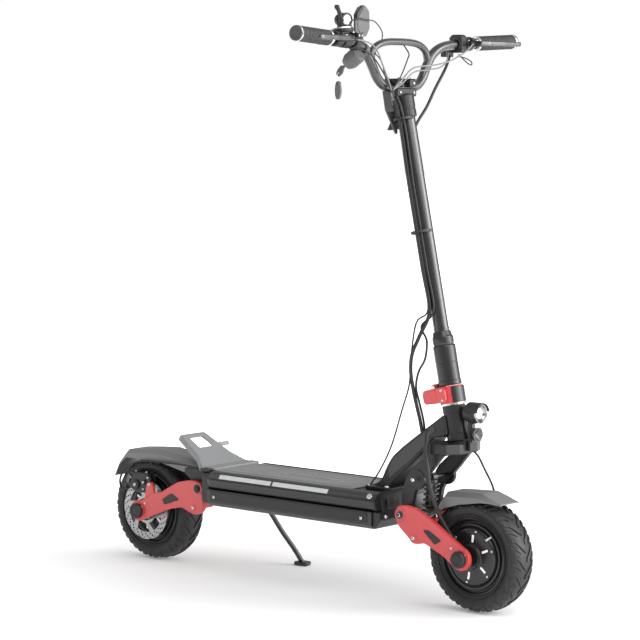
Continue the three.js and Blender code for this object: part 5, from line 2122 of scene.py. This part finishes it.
class SCOOTER_OT_levers(Maker, bpy.types.Operator):
    """Build both brake levers"""

    bl_idname = "scooter.levers"
    bl_label = "Brake levers"
    make = make_levers


class SCOOTER_OT_display(Maker, bpy.types.Operator):
    """Build the display and the throttle"""

    bl_idname = "scooter.display"
    bl_label = "Display"
    make = make_display


class SCOOTER_OT_lock(Maker, bpy.types.Operator):
    """Build the lock, its key and its tag"""

    bl_idname = "scooter.lock"
    bl_label = "Lock"
    make = make_lock


class SCOOTER_OT_bar_lamp(Maker, bpy.types.Operator):
    """Build the lamp on the handlebar"""

    bl_idname = "scooter.bar_lamp"
    bl_label = "Bar lamp"
    make = make_bar_lamp


class SCOOTER_OT_phone_holder(Maker, bpy.types.Operator):
    """Build the phone holder"""

    bl_idname = "scooter.phone_holder"
    bl_label = "Phone holder"
    make = make_phone_holder


class SCOOTER_OT_switches(Maker, bpy.types.Operator):
    """Build the switch box and the horn button"""

    bl_idname = "scooter.switches"
    bl_label = "Switches"
    make = make_switches


class SCOOTER_OT_cables(Maker, bpy.types.Operator):
    """Build the cable bundle, the motor lead and the hoses"""

    bl_idname = "scooter.cables"
    bl_label = "Cables"
    make = make_cables


class SCOOTER_OT_bar_wiring(Maker, bpy.types.Operator):
    """Build the thin leads at the handlebar"""

    bl_idname = "scooter.bar_wiring"
    bl_label = "Bar wiring"
    make = make_bar_wiring


class SCOOTER_OT_kickstand(Maker, bpy.types.Operator):
    """Build the kickstand"""

    bl_idname = "scooter.kickstand"
    bl_label = "Kickstand"
    make = make_kickstand


PIECE_OPERATORS = (
    SCOOTER_OT_deck, SCOOTER_OT_rails, SCOOTER_OT_neck, SCOOTER_OT_fork, SCOOTER_OT_rear_bracket,
    SCOOTER_OT_kickplate, SCOOTER_OT_fenders, SCOOTER_OT_swingarms, SCOOTER_OT_axles, SCOOTER_OT_tyres,
    SCOOTER_OT_motors, SCOOTER_OT_rotors, SCOOTER_OT_calipers, SCOOTER_OT_shocks, SCOOTER_OT_headlight,
    SCOOTER_OT_fold_joint, SCOOTER_OT_stem, SCOOTER_OT_bar_clamp, SCOOTER_OT_handlebar, SCOOTER_OT_grips,
    SCOOTER_OT_levers, SCOOTER_OT_display, SCOOTER_OT_lock, SCOOTER_OT_bar_lamp, SCOOTER_OT_phone_holder,
    SCOOTER_OT_switches, SCOOTER_OT_cables, SCOOTER_OT_bar_wiring, SCOOTER_OT_kickstand,
)


class SCOOTER_PT_panel(bpy.types.Panel):
    """Sizes, colours and the building steps"""

    bl_idname = "SCOOTER_PT_panel"
    bl_label = "Kick scooter"
    bl_space_type = "VIEW_3D"
    bl_region_type = "UI"
    bl_category = "Scooter"

    def draw(self, context):
        for group in (
            context.scene.scooter_sizes, context.scene.scooter_colours, context.scene.scooter_light
        ):
            column = self.layout.column()
            for key in group.bl_rna.properties.keys():
                if key not in ("rna_type", "name"):
                    column.prop(group, key)
        for step in (SCOOTER_OT_finishes, *PIECE_OPERATORS, SCOOTER_OT_stage):
            self.layout.operator(step.bl_idname)


SETTINGS = {"scooter_sizes": ScooterSizes, "scooter_colours": ScooterColours, "scooter_light": ScooterLight}
CLASSES = (*SETTINGS.values(), SCOOTER_OT_finishes, *PIECE_OPERATORS, SCOOTER_OT_stage, SCOOTER_PT_panel)


def register():
    for item in CLASSES:
        bpy.utils.register_class(item)
    for key, group in SETTINGS.items():
        setattr(bpy.types.Scene, key, bpy.props.PointerProperty(type=group))


def unregister():
    for key in SETTINGS:
        delattr(bpy.types.Scene, key)
    for item in reversed(CLASSES):
        bpy.utils.unregister_class(item)


def main():
    register()
    bpy.ops.scooter.finishes()
    for step in PIECE_OPERATORS:
        getattr(bpy.ops.scooter, step.bl_idname.split(".")[1])()
    bpy.ops.scooter.stage()


if __name__ == "__main__":
    main()
